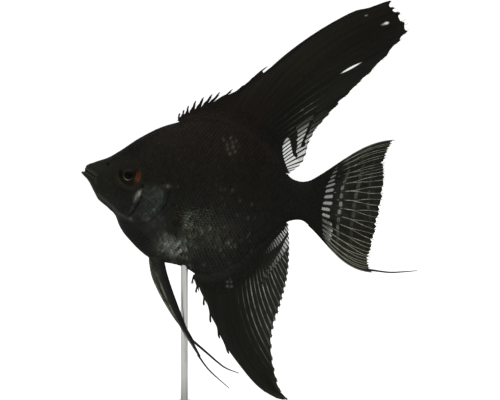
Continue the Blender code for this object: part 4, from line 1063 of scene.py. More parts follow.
# ------------------------------------------------------------------ fin rays
class Tubes:
    """Tapering rods, gathered into one mesh."""

    def __init__(self):
        self.co, self.faces, self.dye, self.uv, self.count, self.rods = [], [], [], [], 0, 0

    def add(self, p, radius, tone, sides=6, flat=1.0):
        """p are points along the rod, flat squeezes it across the body."""
        n = len(p)
        t = unit(np.gradient(p, axis=0))
        across = unit(np.cross(t, np.array([0.0, 1.0, 0.0])) + 1e-9)
        out = np.cross(t, across)
        ang = np.arange(sides) * 2 * math.pi / sides
        ring = (across[:, None] * np.cos(ang)[None, :, None]
                + out[:, None] * (np.sin(ang) * flat)[None, :, None])
        co = p[:, None] + ring * radius[:, None, None]
        co = np.concatenate([co.reshape(-1, 3), p[:1], p[-1:]])
        f = grid_faces(n, sides, wrap=True)[:, ::-1]
        j = np.arange(sides)
        caps = np.concatenate([np.stack([np.full(sides, n * sides), j, (j + 1) % sides], 1),
                               np.stack([np.full(sides, n * sides + 1), (n - 1) * sides + (j + 1) % sides,
                                         (n - 1) * sides + j], 1)])
        self.faces.append((f + self.count, caps + self.count))
        self.co.append(co)
        full = np.repeat(tone, sides, 0)
        self.dye.append(np.concatenate([full, tone[:1], tone[-1:]]))
        s = np.concatenate([[0], np.cumsum(np.linalg.norm(np.diff(p, axis=0), axis=1))])
        uv = np.stack([np.repeat(s / 80.0, sides), np.tile(j / sides, n)], 1)
        uv = np.concatenate([uv, [[0, 0.5]], [[s[-1] / 80.0, 0.5]]])
        self.uv.append((uv, self.rods))
        self.count += len(co)
        self.rods += 1

    def mesh(self, name):
        uv = np.concatenate([np.stack([u[:, 0], (k + 0.15 + 0.7 * u[:, 1]) / self.rods], 1)
                             for u, k in self.uv])
        uv[:, 0] = 0.01 + 0.98 * np.clip(uv[:, 0], 0, 1)
        me = build_mesh(name, world(np.concatenate(self.co)),
                        [np.concatenate([f for f, _ in self.faces]),
                         np.concatenate([c for _, c in self.faces])],
                        uv=uv, colour=albedo(np.concatenate(self.dye)))
        bm = bmesh.new()
        bm.from_mesh(me)
        if bm.calc_volume(signed=True) < 0:
            bmesh.ops.reverse_faces(bm, faces=bm.faces)
        bm.to_mesh(me)
        bm.free()
        me.shade_smooth()
        return me


def along_ray(point, ray_of, r0, r1, spacing=0.4, least=8):
    """Points down one ray whose number may drift along it, with their distance from the root."""
    r = np.linspace(r0, r1, 80)
    P, _ = point(ray_of(r), r)
    s = np.concatenate([[0], np.cumsum(np.linalg.norm(np.diff(P, axis=0), axis=1))])
    n = max(least, int(s[-1] / spacing))
    at = np.interp(np.linspace(0, s[-1], n), s, r)
    P, _ = point(ray_of(at), at)
    s = np.concatenate([[0], np.cumsum(np.linalg.norm(np.diff(P, axis=0), axis=1))])
    return P, s, at


def segmented(s, pitch=0.85):
    """Soft rays are made of short joints: 1 in the middle of a joint, 0 where two meet."""
    f = (s / pitch) % 1.0
    return 1 - bump(np.minimum(f, 1 - f), 0.16)


def ANAL_EDGE_DOTS(at):
    return 1.0 * bump(at - 13.6, 0.5) + 0.9 * bump(at - 15.2, 0.4) + 0.8 * bump(at - 17.9, 0.4) \
        + 0.7 * bump(at - 8.2, 1.0) + 0.4 * bump(at - 12.0, 0.5)


def make_rays():
    t = Tubes()
    odd = np.random.default_rng(17)
    # dorsal: twelve spines whose tips stand clear of the web, then branching soft rays
    for k in range(1, 13):
        P, s, r = along_ray(dorsal, lambda x: np.full(x.shape, float(k)), 0.0, 1.0, 0.35)
        length = s[-1]
        if k < 11:
            # the free tip stands up more steeply than the web behind it
            rise = step(length - 2.6, length, s) ** 1.3
            P = P + rise[:, None] * np.array([0.05, 0.0, 0.8])
        tone = dorsal_marks(np.full(s.shape, float(k)), s, length)[2] * (1.0 + 0.12 * step(0.6, 1.0, s / length))[:, None]
        t.add(P, line([(0, 0.28), (0.6, 0.27), (0.85, 0.29), (0.95, 0.2), (1, 0.04)], s / length), tone)
    for k in range(13, 13 + DORSAL_COUNT + 1):
        at = float(dorsal_place(k))
        end = 1.0 if at > 14 else 0.995
        fork = line([(13, 0.5), (20, 0.5), (30, 0.6), (37, 0.9)], at)
        for b in (-1, 1):
            wide = 0.2 * float(smooth([(13, 0.95), (23, 1.45), (30, 1.0), (37, 0.68)], at))
            P, s, r = along_ray(dorsal, lambda x: at + b * wide * step(fork, 1.0, x) - 0.02 * b, 0.0, end, 0.35)
            length = s[-1]
            ray = at + b * wide * step(fork, 1.0, r)
            win, much, tone = dorsal_marks(ray, s, length)
            bead = segmented(s)
            shade = 1.0 + odd.uniform(-0.1, 0.22) + 0.10 * wobble(s * 0.25 + 9 * k, 32)
            tone = tone * (1 + (shade - 1) * step(3, 10, s))[:, None]
            pale = (0.9 * blob(ray, s, 24.2, 16.0, 2.4, 5.5) + 0.75 * blob(ray, s, 22.6, 21.5, 1.6, 5.0)
                    + 0.9 * blob(ray, s, 26.6, 12.0, 1.2, 4.0) + 0.5 * blob(ray, s, 26.6, 21.0, 1.6, 5.0)
                    + 0.3 * blob(ray, s, 20.4, 27, 1.2, 6.0))
            node = bump(wobble(s * 0.55 + 13 * k, 33) - 0.75, 0.35)
            pale = pale * (0.35 + 0.35 * bead + 0.8 * node)
            inside = step(-0.25, 0.1, win)
            dark = line([(27, 24), (31, 26), (33, 42), (35, 100), (37, 160)], at)
            tone = tone + (pale * 46)[:, None] * np.array([1.0, 1.02, 0.84])
            glow = inside * (dark + 40 * step(8.5, 11, s) * step(30.5, 32, at))
            tone = tone * (1 - inside)[:, None] + glow[:, None] * np.array([1.0, 1.0, 0.92])
            radius = line([(0, 0.22), (0.3, 0.19), (0.7, 0.13), (1, 0.05)], s / length) * (0.86 + 0.14 * bead)
            t.add(P, radius * (0.8 if at > 33 else 1.0), tone)
    # anal
    for k in range(1, 7):
        P, s, r = along_ray(anal, lambda x: np.full(x.shape, float(k)), 0.0, 1.0, 0.35)
        length = s[-1]
        tone = anal_marks(np.full(s.shape, float(k)), s, length)[2] * 1.04
        # each spine's point stands out of the front edge like a thorn
        thorn = step(length - 4.2, length, s) ** 1.2 * (1.0 if k in (2, 3, 4, 5) else 0.6)
        P = P + thorn[:, None] * np.array([-0.86, 0.0, -0.46])
        radius = line([(0, 0.28), (0.6, 0.26), (0.8, 0.3), (0.94, 0.38), (0.985, 0.3), (1, 0.05)], s / length)
        t.add(P, radius, tone)
    for k in range(7, 7 + ANAL_COUNT + 1):
        at = float(anal_place(k))
        amount = line([(9, 0.0), (10.8, 0.28), (12, 0.62), (13.2, 0.9), (20, 1.0), (29, 0.9), (32, 0.5)], at)
        amount *= odd.uniform(0.85, 1.15)
        for b in (-1, 1):
            fork = 0.72 if at < 18 else 0.85
            P, s, r = along_ray(anal, lambda x: at + b * 0.2 * step(fork, 1.0, x) - 0.015 * b, 0.0, 1.0, 0.35)
            length = s[-1]
            ray = at + b * 0.2 * step(fork, 1.0, r)
            win, much, tone = anal_marks(ray, s, length)
            bead = segmented(s)
            glow = amount * step(5.0, 9.5, s + 1.5 * step(22, 26, ray)) * (0.72 + 0.28 * bead)
            glow = glow * (0.9 + 0.5 * wobble(s * 0.45 + 5 * k, 41))
            glow = glow * line([(0, 1), (0.8, 1), (1, 0.8 if at > 13.5 else 0.25)], s / length)
            glow = glow + 2.2 * bump(s - length + 0.7, 0.6) * float(ANAL_EDGE_DOTS(at))
            tone = tone * (1 + 0.12 * odd.uniform(-1, 1)) + (glow * 76)[:, None] * np.array([1.0, 1.01, 0.94])
            inside = step(-0.25, 0.1, win)
            dark = line([(20, 26), (26, 32), (30, 60)], at)
            tone = tone * (1 - inside)[:, None] + (inside * dark)[:, None] * np.array([1.0, 1.0, 0.92])
            radius = line([(0, 0.2), (0.3, 0.22), (0.7, 0.2), (1, 0.09)], s / length) * (0.84 + 0.16 * bead)
            t.add(P, radius, tone)
    # tail: each ray forks into two pale branches
    for k, start in enumerate(CAUDAL_RAYS):
        for b in (-1, 1):
            L = float(caudal(np.array([start]), np.array([1.0]))[1][0])
            drift = float(line(CAUDAL_DRIFT, start))
            gap = CAUDAL_RAYS[min(k + 1, len(CAUDAL_RAYS) - 1)] - CAUDAL_RAYS[max(k - 1, 0)]

            def place(x):
                s = x * L
                p = start + drift * np.clip((s - 4.5) / 8.5, 0, 1.25) + 0.25 * step(13, 24, s) * (3 < start < 15)
                return np.clip(p + b * 0.125 * gap * step(11.8, 20.5, s) - 0.02 * b, 1, 17)
            P, s, r = along_ray(caudal, place, 0.0, 1.0, 0.35)
            length = s[-1]
            ray = place(r)
            tone = caudal_marks(ray, s, length)[2]
            bead = segmented(s, 0.9)
            c0 = float(caudal_arc(start))
            tone = np.minimum(tone, 30 * np.array([1.0, 1.0, 0.92]))
            dots = bump(wobble(s * 0.8 + 11 * k, 71) - 0.7, 0.4) * step(c0 + 2.5, c0 + 3.5, s)
            glow = step(10.0, 12.5, s) * (0.66 + 0.34 * bead) * (0.85 + 0.3 * wobble(s * 0.4 + 7 * k + 3 * b, 72))
            glow = glow * line([(1, 0.7), (5, 0.75), (7, 1.0), (13, 1.0), (17, 0.95)], start)
            glow = np.maximum(glow, dots * 0.7)
            low = step(13.0, 14.5, start) * step(c0, c0 + 3, s) * 0.8
            glow = np.maximum(glow, low * (0.8 + 0.2 * bead))
            tone = tone + (glow * 118)[:, None] * np.array([1.0, 1.0, 0.89])
            radius = line([(0, 0.24), (0.3, 0.2), (0.5, 0.16), (1, 0.1)], s / length) * (0.88 + 0.12 * bead)
            t.add(P, radius, tone)
    # pelvic fins: a stout first ray and five fine ones
    for fin, pale in ((PELVIC_LEFT, False), (PELVIC_RIGHT, True)):
        point, marks = pelvic(fin), pelvic_marks(pale)
        for k in np.array([0.12, 1.1, 2.05, 3.0, 3.95, 4.85]):
            P, s, r = along_ray(point, lambda x: k * (1 - 0.35 * x) + 2.5 * 0.35 * x, 0.0, 1.0)
            tone = marks(np.full(s.shape, k), s, 34.0)[2]
            bead = segmented(s, 1.1)
            node = bump(wobble(s * 0.5 + 7 * k, 34) - 0.8, 0.35) * (34 if pale or k < 1 else 8)
            tone = tone * (1.0 + (0.3 if pale else 0.2) * (bead - 0.5))[:, None] + node[:, None]
            big = 0.32 if k < 1 else 0.19
            t.add(P, line([(0, big), (0.6, big * 0.8), (1, big * 0.55)], s / s[-1]), tone)
        # the fin draws out into a fine trailing thread
        p = path(fin["trail"], 60)
        y = fin["y"][1] * (0.98 + 0.37 * np.linspace(0, 1, 60))
        s = np.linspace(0, 1, 60)
        tone = (line([(0, 46), (0.4, 40), (1, 30)], s) if pale else line([(0, 44), (0.3, 34), (1, 27)], s))
        thick = line([(0, 0.44), (0.25, 0.36), (0.7, 0.26), (1, 0.13)], s) if pale else \
            line([(0, 0.34), (0.25, 0.27), (0.7, 0.2), (1, 0.12)], s)
        t.add(np.stack([p[:, 0], y, p[:, 1]], 1), thick, tone[:, None] * np.array([[1.0, 1.01, 0.95]]), sides=8)
    # the tail's thread
    p = path(CAUDAL_TRAIL, 70)
    s = np.linspace(0, 1, 70)
    y0 = float(caudal(np.array([16.6]), np.array([0.9]))[0][0, 1])
    t.add(np.stack([p[:, 0], y0 + (2.4 - y0) * s, p[:, 1]], 1),
          line([(0, 0.2), (0.12, 0.4), (0.3, 0.3), (0.7, 0.22), (1, 0.12)], s),
          line([(0, 40), (0.4, 36), (1, 28)], s)[:, None] * np.array([[1.0, 1.0, 0.95]]), sides=8)
    for side in (-1, 1):
        point = pectoral(side)
        for k in range(1, 13):
            P, s, r = along_ray(point, lambda x: np.full(x.shape, float(k)), 0.0, 0.99)
            bead = segmented(s, 0.8)
            q = s / s[-1]
            tone = 29 + 10 * bead * step(0.2, 0.9, q)
            # painted highlights near the tips of rays 2 to 5, on the fin's upper margin
            if k in (2, 3):
                tone = tone + 26 * bump(q - 0.9, 0.07)
            if k in (4, 5):
                tone = tone + 22 * bump(q - 0.92, 0.08)
            t.add(P, line([(0, 0.16), (0.5, 0.1), (1, 0.045)], q), tone[:, None] * OLIVE[None, :])
    return add_object("fin_rays", t.mesh("fin_rays"), ray_material(), "black_fin_web")


# ------------------------------------------------------------------ scales
# One scale, seen from outside: rows run from its buried root to its free rear edge
ROW_X = np.array([-0.5, -0.2, 0.08, 0.32, 0.5])
ROW_W = np.array([0.60, 0.92, 1.0, 0.84, 0.42])
COL_Y = np.array([-1.0, -0.36, 0.36, 1.0])


def scale_mesh(name, P, T, N, length, width, tone_at, own, net, curve, root_uv, lift=0.17,
               sink=0.09, thick=0.05):
    """Thin closed plates, one for each row of P, T and N, joined into one mesh."""
    n = len(P)
    B = unit(np.cross(N, T))
    T = unit(np.cross(B, N))
    X, Y = np.meshgrid(ROW_X, COL_Y, indexing="ij")
    X = X - 0.09 * Y ** 2 * (np.arange(5)[:, None] / 4)
    W = Y * ROW_W[:, None]
    x, y = X.ravel(), W.ravel()  # 20 places on the plate
    lx = x[None, :] * length[:, None]
    ly = y[None, :] * width[:, None] / 2
    rise = -sink + (lift + sink) * np.clip(x + 0.5, 0, 1) ** 0.85
    dome = 0.05 * (1 - (y / 1.0) ** 2)
    z = (rise[None, :] + dome[None, :] * (x > -0.3)) * np.clip(length / 1.9, 0.45, 1.1)[:, None]
    z = z - curve[:, None] * ly ** 2 / 2
    top = P[:, None] + T[:, None] * lx[..., None] + B[:, None] * ly[..., None] + N[:, None] * z[..., None]
    rim = np.concatenate([np.arange(4), [7, 11, 15, 19], [18, 17, 16], [12, 8, 4]])
    low = top[:, rim] - N[:, None] * (thick * np.clip(length / 1.9, 0.5, 1.0))[:, None, None]
    co = np.concatenate([top, low], 1)
    k = 20 + len(rim)
    quads = grid_faces(5, 4)
    nxt = np.roll(np.arange(14), -1)
    sides = np.stack([rim, 20 + np.arange(14), 20 + nxt, rim[nxt]], 1)
    base = (np.arange(n) * k)[:, None, None]
    quads = np.concatenate([quads, sides])
    allq = (quads[None] + base).reshape(-1, 4)
    under = (20 + np.arange(14))[::-1]
    alln = (under[None, :] + np.arange(n)[:, None] * k)
    # paler free rim round a darker middle
    rimness = np.where((np.arange(20) // 4 == 4) | ((np.abs(y) > 0.8) & (x > -0.3)), 1.0, 0.0)
    rimness = np.where(np.arange(20) // 4 == 3, np.maximum(rimness, 0.25), rimness)
    rimness = np.where(np.arange(20) // 4 == 0, 0.4, rimness)
    rimness = np.concatenate([rimness, np.full(14, 0.8)])
    shade = 1 + net[:, None] * (rimness[None, :] * RIM_GAIN - MIDDLE_LOSS)
    tone = tone_at(co) if callable(tone_at) else np.repeat(tone_at[:, None], k, 1)
    dye = albedo(tone * (shade * own[:, None])[..., None]).reshape(-1, 3)
    # every plate is a small patch of the unwrap, at its root's place
    patch = np.stack([x, y], 1) * 0.0016
    patch = np.concatenate([patch, patch[rim] * 1.12])
    uv = (root_uv[:, None] + patch[None]).reshape(-1, 2)
    return build_mesh(name, world(co.reshape(-1, 3)), [allq, alln], uv=uv, colour=dye)


RIM_GAIN, MIDDLE_LOSS = 0.64, 0.22

PITCH = [(8, 0.62), (13, 0.74), (20, 0.9), (28, 1.1), (34, 1.2), (50, 1.2), (60, 1.02), (68, 0.82),
         (77, 0.55)]


def scaled_there(u, w):
    """Where scales grow."""
    ok = u > 8.4
    ok &= np.hypot(u - EYE_U, w - EYE_W) > 4.95
    ok &= ~((u < 12.4) & (w > -4.6) & (w < 4.6 + (u - 8) * 0.5))
    ok &= ~((u < 11.0) & (w < -3.0))
    throat = w > line([(8, -9.2), (11.5, -11.0), (14, -12.6), (18, -13.4), (22, -13.0), (24, -12.6),
                       (25.5, -14.0), (26.3, -25.0), (27, -40)], u)
    chest = (u > 16.4) & (w < line([(16, -17.6), (19.5, -18.0), (23, -17.0), (25.4, -14.6), (27, -12)], u))
    ok &= throat | chest
    d, side, along = from_line(u, w, GILL_EDGE)
    ok &= ~((d * side > -0.05) & (d * side < 0.3 * step(0.3, 0.56, along)) & (along > 0.3))
    d, side, along = from_line(u, w, PREOPERCLE)
    ok &= (d > 0.42) | (along < 0.06)
    ok &= np.hypot((u - 31.7) / 2.35, (w + 13.3) / 3.5) > 1.0
    return ok


def make_body_scales():
    fine = np.linspace(6, 78, 2000)
    psi = np.concatenate([[0], np.cumsum(np.diff(fine) / smooth(PITCH, fine[:-1]))])
    table_a = warp(np.linspace(-1, 1, 161))

    def on_row(u, rows):
        """Angle on the section at u for each scale row, by arc length from the widest level."""
        p = body_point(np.full(table_a.shape, u), table_a, -1)
        s = np.concatenate([[0], np.cumsum(np.linalg.norm(np.diff(p, axis=0), axis=1))])
        s = s - np.interp(0, table_a, s)
        t = rows * smooth(PITCH, u) * 0.82
        return np.interp(t, s, table_a), t, s[0], s[-1]

    groups = {"head": [], "trunk_left": [], "trunk_right": []}
    for half in range(0, int(psi[-1] * 2)):
        u = float(np.interp(half / 2, psi, fine))
        if u > 76.4 or u < 8.2:
            continue
        rows = np.arange(-60, 61)
        rows = rows[(rows % 2) == (half % 2)]
        a, t, lo, hi = on_row(u, rows)
        keep = (t > lo + 0.3) & (t < hi - 0.3)
        rows, a, t = rows[keep], a[keep], t[keep]
        e = 0.15
        a0, a1 = on_row(u - e, rows)[0], on_row(u + e, rows)[0]
        for side in (-1, 1):
            n = len(rows)
            sd = np.full(n, float(side))
            uu = np.full(n, u)
            flat = body_point(uu, a, sd)
            ok = scaled_there(flat[:, 0], flat[:, 2])
            if not ok.any():
                continue
            uu, a_, sd = uu[ok], a[ok], sd[ok]
            p, nrm = body_skin(uu, a_, sd)
            T = body_point(uu + e, a1[ok], sd) - body_point(uu - e, a0[ok], sd)
            da = 0.03
            q0, q1, q2 = (body_point(uu, np.clip(a_ + k * da, -1.57, 1.57), sd) for k in (-1, 0, 1))
            arc = np.maximum(np.linalg.norm(q2 - q0, axis=1) / 2, 0.02)
            bend = np.linalg.norm((q2 - 2 * q1 + q0), axis=1) / arc ** 2
            edge = np.minimum(t[ok] - lo, hi - t[ok])
            size = smooth(PITCH, u) * np.clip(0.62 + 0.38 * edge / 4.0, 0.6, 1.0)
            size = size * (1 - 0.22 * step(26, 18, uu) * step(-13, -16, flat[ok][:, 2]))
            # towards a fin's root the scales swing round to follow its rays
            top = (hi - t[ok]) < (t[ok] - lo)
            up = unit(q2 - q0) * np.where(top, 1.0, -1.0)[:, None]
            swing = 0.75 * step(5.0, 0.3, edge) * np.where(
                top, step(27, 33, uu) * step(69, 64, uu), step(39, 44, uu) * step(70, 65, uu))
            T = unit(T) * np.cos(swing)[:, None] + up * np.sin(swing)[:, None]
            d, gill, along = from_line(flat[ok][:, 0], flat[ok][:, 2], GILL_EDGE)
            size = size * (1 - 0.25 * step(1.9, 0.6, d) * (gill > 0) * (along > 0.2))
            v = t[ok] + float(section(np.array([u]))[3][0])
            rec = np.concatenate([p, T, nrm, size[:, None], np.clip(bend, 0, 0.6)[:, None],
                                  flat[ok][:, [0, 2]], v[:, None], sd[:, None]], 1)
            groups["head" if u < 28.6 else ("trunk_left" if side < 0 else "trunk_right")].append(rec)
    made = []
    for name, recs in groups.items():
        r = np.concatenate(recs)
        P, T, N = r[:, 0:3], unit(r[:, 3:6]), unit(r[:, 6:9])
        size, bend, u, w, v, side = r[:, 9], r[:, 10], r[:, 11], r[:, 12], r[:, 13], r[:, 14]
        n = len(r)
        N = unit(N + rng.normal(0, 0.035, (n, 3)))
        T = unit(T + rng.normal(0, 0.03, (n, 3)))
        bright = np.clip((body_tone(u, w).mean(1) - 34) / 30, 0, 1)
        own = 1 + rng.normal(0, 1, n) * (0.05 + 0.17 * bright)
        spark = (rng.random(n) < 0.05 * step(6, -8, w)) * step(27, 31, u) * step(62, 56, u)
        own = np.clip(own + spark * rng.uniform(0.2, 0.7, n), 0.5, 2.0)
        uv = unwrap(u, v, np.zeros(n), side)

        def tone_at(co):
            return body_tone(co[..., 0], co[..., 2])

        me = scale_mesh("scales_" + name, P, T, N, size * 1.62 * rng.uniform(0.95, 1.05, n),
                        size * 0.82 * 2 * 1.06, tone_at, own, netting(u, w), bend, uv)
        made.append(add_object("scales_" + name, me, scale_material(), "black_skin"))
    return made


def make_fin_scales():
    """Smaller scales that run out from the body over the roots of the fins."""
    recs = []

    def lay(point, ray_of, places, height, marks, part, thick, first=-1.3, apart=0.46, size0=0.9, shrink=0.045,
            swing=0.75):
        d, m = first, 0
        while m < 26:
            x = places + (0.5 if m % 2 else 0.0) * (places[1] - places[0])
            x = x[(x < places[-1])]
            ray = ray_of(x)
            ok = d < height(x, ray) + 0.25 * np.sin(9 * x)
            ray = ray[ok]
            if len(ray):
                chord = point(ray, np.zeros(len(ray)))[1]
                per = chord
                r = d / per

                def surface(q, rr, sign):
                    P, _ = point(q, rr)
                    P2, _ = point(q, rr + 0.01)
                    Q, _ = point(q + 0.05, rr)
                    N = unit(np.cross(Q - P, P2 - P))
                    N = N * -np.sign(N[:, 1:2] + 1e-9) * sign
                    form = thick(q) if callable(thick) else thick
                    th = web_thickness(rr * per, per, **form)
                    return P + N * (th / 2)[:, None]
                size = size0 * np.clip(1.0 - shrink * m, 0.5, 1)
                tone = marks(ray, np.full(len(ray), max(d, 0.0)), per)[2]
                for side in (-1, 1):
                    sign = 1.0 if side < 0 else -1.0
                    A = surface(ray, r, sign)
                    A2 = surface(ray, r + 0.3 / per, sign)
                    A3 = surface(ray + 0.1, r, sign)
                    T = unit(A2 - A)
                    N = unit(np.cross(A3 - A, T))
                    lean = swing * float(step(4.0, -1.0, d))
                    T = unit(T * math.cos(lean) + unit(A3 - A) * math.sin(lean))
                    N = N * np.sign(N[:, 1:2] * side + 1e-9)
                    recs.append(np.concatenate([
                        A - N * 0.02, T, N, np.full((len(ray), 1), size),
                        tone, A[:, [0, 2]], np.full((len(ray), 1), part), np.full((len(ray), 1), side)], 1))
            d += apart * size / size0 if m else apart
            m += 1

    inv_d = lambda x: np.interp(x, smooth(DORSAL_ROOT, np.linspace(1, 37, 400)), np.linspace(1, 37, 400))
    high_d = lambda x, ray: np.minimum(
        line([(29, 0.9), (34, 2.6), (40, 5.0), (46, 7.6), (53, 8.6), (58, 7.4), (61, 5.5)], x),
        line([(26.5, 9), (28.5, 4.2), (31, 2.4), (33.4, 1.2), (37, 0.2)], ray))
    lay(dorsal, inv_d, np.arange(29.2, 66.2, 0.62), high_d, dorsal_marks, 1, dorsal_thick)
    inv_a = lambda x: np.interp(x, smooth(ANAL_ROOT, np.linspace(1, 32, 400)), np.linspace(1, 32, 400))
    high_a = lambda x, ray: np.minimum(
        line([(41, 0.8), (45, 3.5), (50, 7.5), (56, 8.0), (60, 5.0)], x),
        line([(17, 9), (20.5, 2.2), (22, 1.5), (29, 0.9), (31.5, 0.4)], ray))
    lay(anal, inv_a, np.arange(41.4, 68.4, 0.62), high_a, anal_marks, 2, anal_thick)
    high_c = lambda x, ray: caudal_arc(ray) - 0.1
    lay(caudal, lambda x: x, np.arange(1.15, 16.9, 0.58), high_c, caudal_marks, 3,
        caudal_thick, first=-0.5, apart=0.42, size0=0.66, shrink=0.035, swing=0.0)
    r = np.concatenate(recs)
    n = len(r)
    P, T, N = r[:, 0:3], r[:, 3:6], r[:, 6:9]
    N = unit(N + rng.normal(0, 0.04, (n, 3)))
    size, tone, u, w, part, side = r[:, 9], r[:, 10:13], r[:, 13], r[:, 14], r[:, 15], r[:, 16]
    out = np.maximum(w - smooth(BACK, u), smooth(BELLY, u) - w)
    all_share, all_tone = np.where(part < 2.5, step(3.2, 0.2, out), 0.0), tone
    own = 1 + rng.normal(0, 0.07, n)
    uv = unwrap(u, w, part, side)
    # near the body the scales take its tones, further out the fin's
    def tone_at(co):
        near = body_tone(co[..., 0], co[..., 2])
        return near * share + tone[:, None] * (1 - share) + base_spots(co[..., 0], co[..., 2])[..., None]

    made = []
    for number, name in ((1, "scales_dorsal_fin"), (2, "scales_anal_fin"), (3, "scales_caudal_fin")):
        k = part == number
        share, tone = all_share[k][:, None, None], all_tone[k]
        me = scale_mesh(name, P[k], T[k], N[k], size[k] * 1.55, size[k] * 1.2, tone_at, own[k],
                        np.full(k.sum(), 0.12), np.zeros(k.sum()), uv[k], lift=0.16, sink=0.1, thick=0.045)
        made.append(add_object(name, me, scale_material(), "black_skin"))
    return made


# ------------------------------------------------------------------ eyes
def make_eye(side):
    """A bulging eyeball, turned about its own axis: pupil, metallic ring, dark iris, pale rim."""
    rho = np.concatenate([np.linspace(0.0, 3.2, 40)[1:], np.linspace(3.28, 4.06, 14)])
    turn = 128
    ang = np.arange(turn) * 2 * math.pi / turn
    R, A = np.meshgrid(rho, ang, indexing="ij")

    def bed(u, w):
        return half_width_at(u, w)

    def front_y(U, W, R):
        dome = 1.02 * np.sqrt(np.clip(1 - (R / 4.3) ** 2, 0, 1)) - 0.33
        dome = dome + 0.10 * step(2.9, 1.7, R) - 0.05 * bump(R - 3.2, 0.2)
        return bed(U, W) + dome

    U, W = EYE_U + R * np.cos(A), EYE_W + R * np.sin(A)
    front = np.stack([U, side * front_y(U, W, R), W], -1)
    rows = []
    for k, deep in ((1.0, 0.75), (0.97, 1.2), (0.82, 1.75), (0.5, 2.1)):
        U, W = EYE_U + 4.06 * k * np.cos(ang), EYE_W + 4.06 * k * np.sin(ang)
        rows.append(np.stack([U, side * (bed(U, W) - deep), W], -1))
    p = np.concatenate([front, np.stack(rows)])
    mid = float(bed(np.array([EYE_U]), np.array([EYE_W]))[0])
    co = np.concatenate([p.reshape(-1, 3), [[EYE_U, side * (mid + 0.76), EYE_W]],
                         [[EYE_U, side * (mid - 2.2), EYE_W]]])
    n = p.shape[0]
    f = grid_faces(n, turn, wrap=True)
    j = np.arange(turn)
    caps = np.concatenate([np.stack([np.full(turn, n * turn), (j + 1) % turn, j], 1),
                           np.stack([np.full(turn, n * turn + 1), (n - 1) * turn + j,
                                     (n - 1) * turn + (j + 1) % turn], 1)])
    # colour by distance from the middle and by angle; 0 is to the rear, a quarter turn is up
    rr = np.hypot(co[:, 0] - EYE_U, co[:, 2] - EYE_W)
    aa = np.degrees(np.arctan2(co[:, 2] - EYE_W, co[:, 0] - EYE_U))

    def facing(centre, spread):
        d = (aa - centre + 180) % 360 - 180
        return np.exp(-(d / spread) ** 2)

    seen = np.ones((len(co), 3)) * np.array([19.0, 18.5, 14.0])
    iris = step(2.0, 2.25, rr)
    seen += iris[:, None] * (np.array([2.0, 1.5, 0.5]) + 2 * wobble(aa * 0.35 + 40 + 3 * rr, 51)[:, None])
    seen += (iris * facing(80, 50))[:, None] * np.array([0.0, -2.0, 0.0])
    red = iris * step(4.02, 3.7, rr) * facing(-6, 36)
    seen = seen * (1 - 0.3 * iris * facing(90, 75))[:, None]
    red = np.clip(red * step(1.9, 2.8, rr + 0.4 * facing(-8, 30)) * 1.25, 0, 1)
    seen = seen * (1 - red)[:, None] + red[:, None] * (np.array([60.0, 34.0, 24.0])
                                                       + np.array([16.0, 11.0, 8.0])
                                                       * (facing(-30, 17) * bump(rr - 3.2, 0.8))[:, None])
    # the ring round the pupil sits a little low and forward
    ring = np.hypot(co[:, 0] - EYE_U + 0.22, co[:, 2] - EYE_W + 0.2)
    gold = bump(ring - 1.64, 0.092)
    # painted highlight on the gold ring: brightest low and forward, dimmer elsewhere; it also raises the metallic there
    painted_ring_highlight = 0.05 + 0.16 * facing(190, 45) + 0.72 * facing(250, 34) + 0.16 * facing(300, 40) + 0.1 * facing(95, 30)
    seen = seen + (gold * painted_ring_highlight)[:, None] * np.array([160.0, 154.0, 132.0])
    rim = bump(rr - 3.66, 0.22) * (0.1 + 0.62 * facing(222, 40))
    seen = seen + rim[:, None] * np.array([26.0, 25.0, 21.0])
    # painted light: the eyeball's outer band is lifted all round, against the shade of the socket's groove
    seen = seen + step(3.5, 3.95, rr)[:, None] * np.array([13.0, 13.0, 10.5])
    pupil = step(1.5, 1.38, ring)
    seen = seen * (1 - pupil)[:, None] + pupil[:, None] * np.array([13.0, 13.0, 12.0])
    seen = seen + (pupil * facing(225, 60) * bump(ring - 1.0, 0.5))[:, None] * np.array([9.0, 6.0, 1.0])
    uv = np.stack([co[:, 0] - EYE_U, co[:, 2] - EYE_W], 1) / 8.6 * 0.98 + 0.5
    me = build_mesh("eye_surface", world(co), [f, caps], uv=uv, colour=albedo(seen),
                    fields={"gold": np.clip(gold * (0.3 + painted_ring_highlight) + 0.5 * rim, 0, 1)})
    outward(me)
    name = "eyeball_left" if side < 0 else "eyeball_right"
    obj = add_object(name, me, eye_material(), "dark_eye")
    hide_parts("eye_left" if side < 0 else "eye_right")
    return obj


# ------------------------------------------------------------------ materials
class Wire:
    """A shader value. Sums and products of wires write the nodes for themselves."""

    tree = None

    def __init__(self, out):
        self.out = out

    @classmethod
    def math(cls, op, *args, clamp=False):
        n = cls.tree.nodes.new("ShaderNodeMath")
        n.operation, n.use_clamp = op, clamp
        for k, a in enumerate(args):
            if isinstance(a, Wire):
                cls.tree.links.new(a.out, n.inputs[k])
            else:
                n.inputs[k].default_value = a
        return cls(n.outputs[0])

    def __add__(self, b):
        return Wire.math("ADD", self, b)

    def __sub__(self, b):
        return Wire.math("SUBTRACT", self, b)

    def __rsub__(self, b):
        return Wire.math("SUBTRACT", b, self)

    def __mul__(self, b):
        return Wire.math("MULTIPLY", self, b)

    __radd__, __rmul__ = __add__, __mul__

    def step(self, lo, hi, to0=0.0, to1=1.0):
        n = Wire.tree.nodes.new("ShaderNodeMapRange")
        n.interpolation_type = "SMOOTHSTEP"
        Wire.tree.links.new(self.out, n.inputs["Value"])
        for key, value in (("From Min", lo), ("From Max", hi), ("To Min", to0), ("To Max", to1)):
            n.inputs[key].default_value = value
        return Wire(n.outputs["Result"])


def new_material(name):
    m = bpy.data.materials.new(name)
    m.use_nodes = True
    Wire.tree = m.node_tree
    return m, m.node_tree, m.node_tree.nodes["Principled BSDF"]


def attribute(name):
    n = Wire.tree.nodes.new("ShaderNodeAttribute")
    n.attribute_name = name
    return n


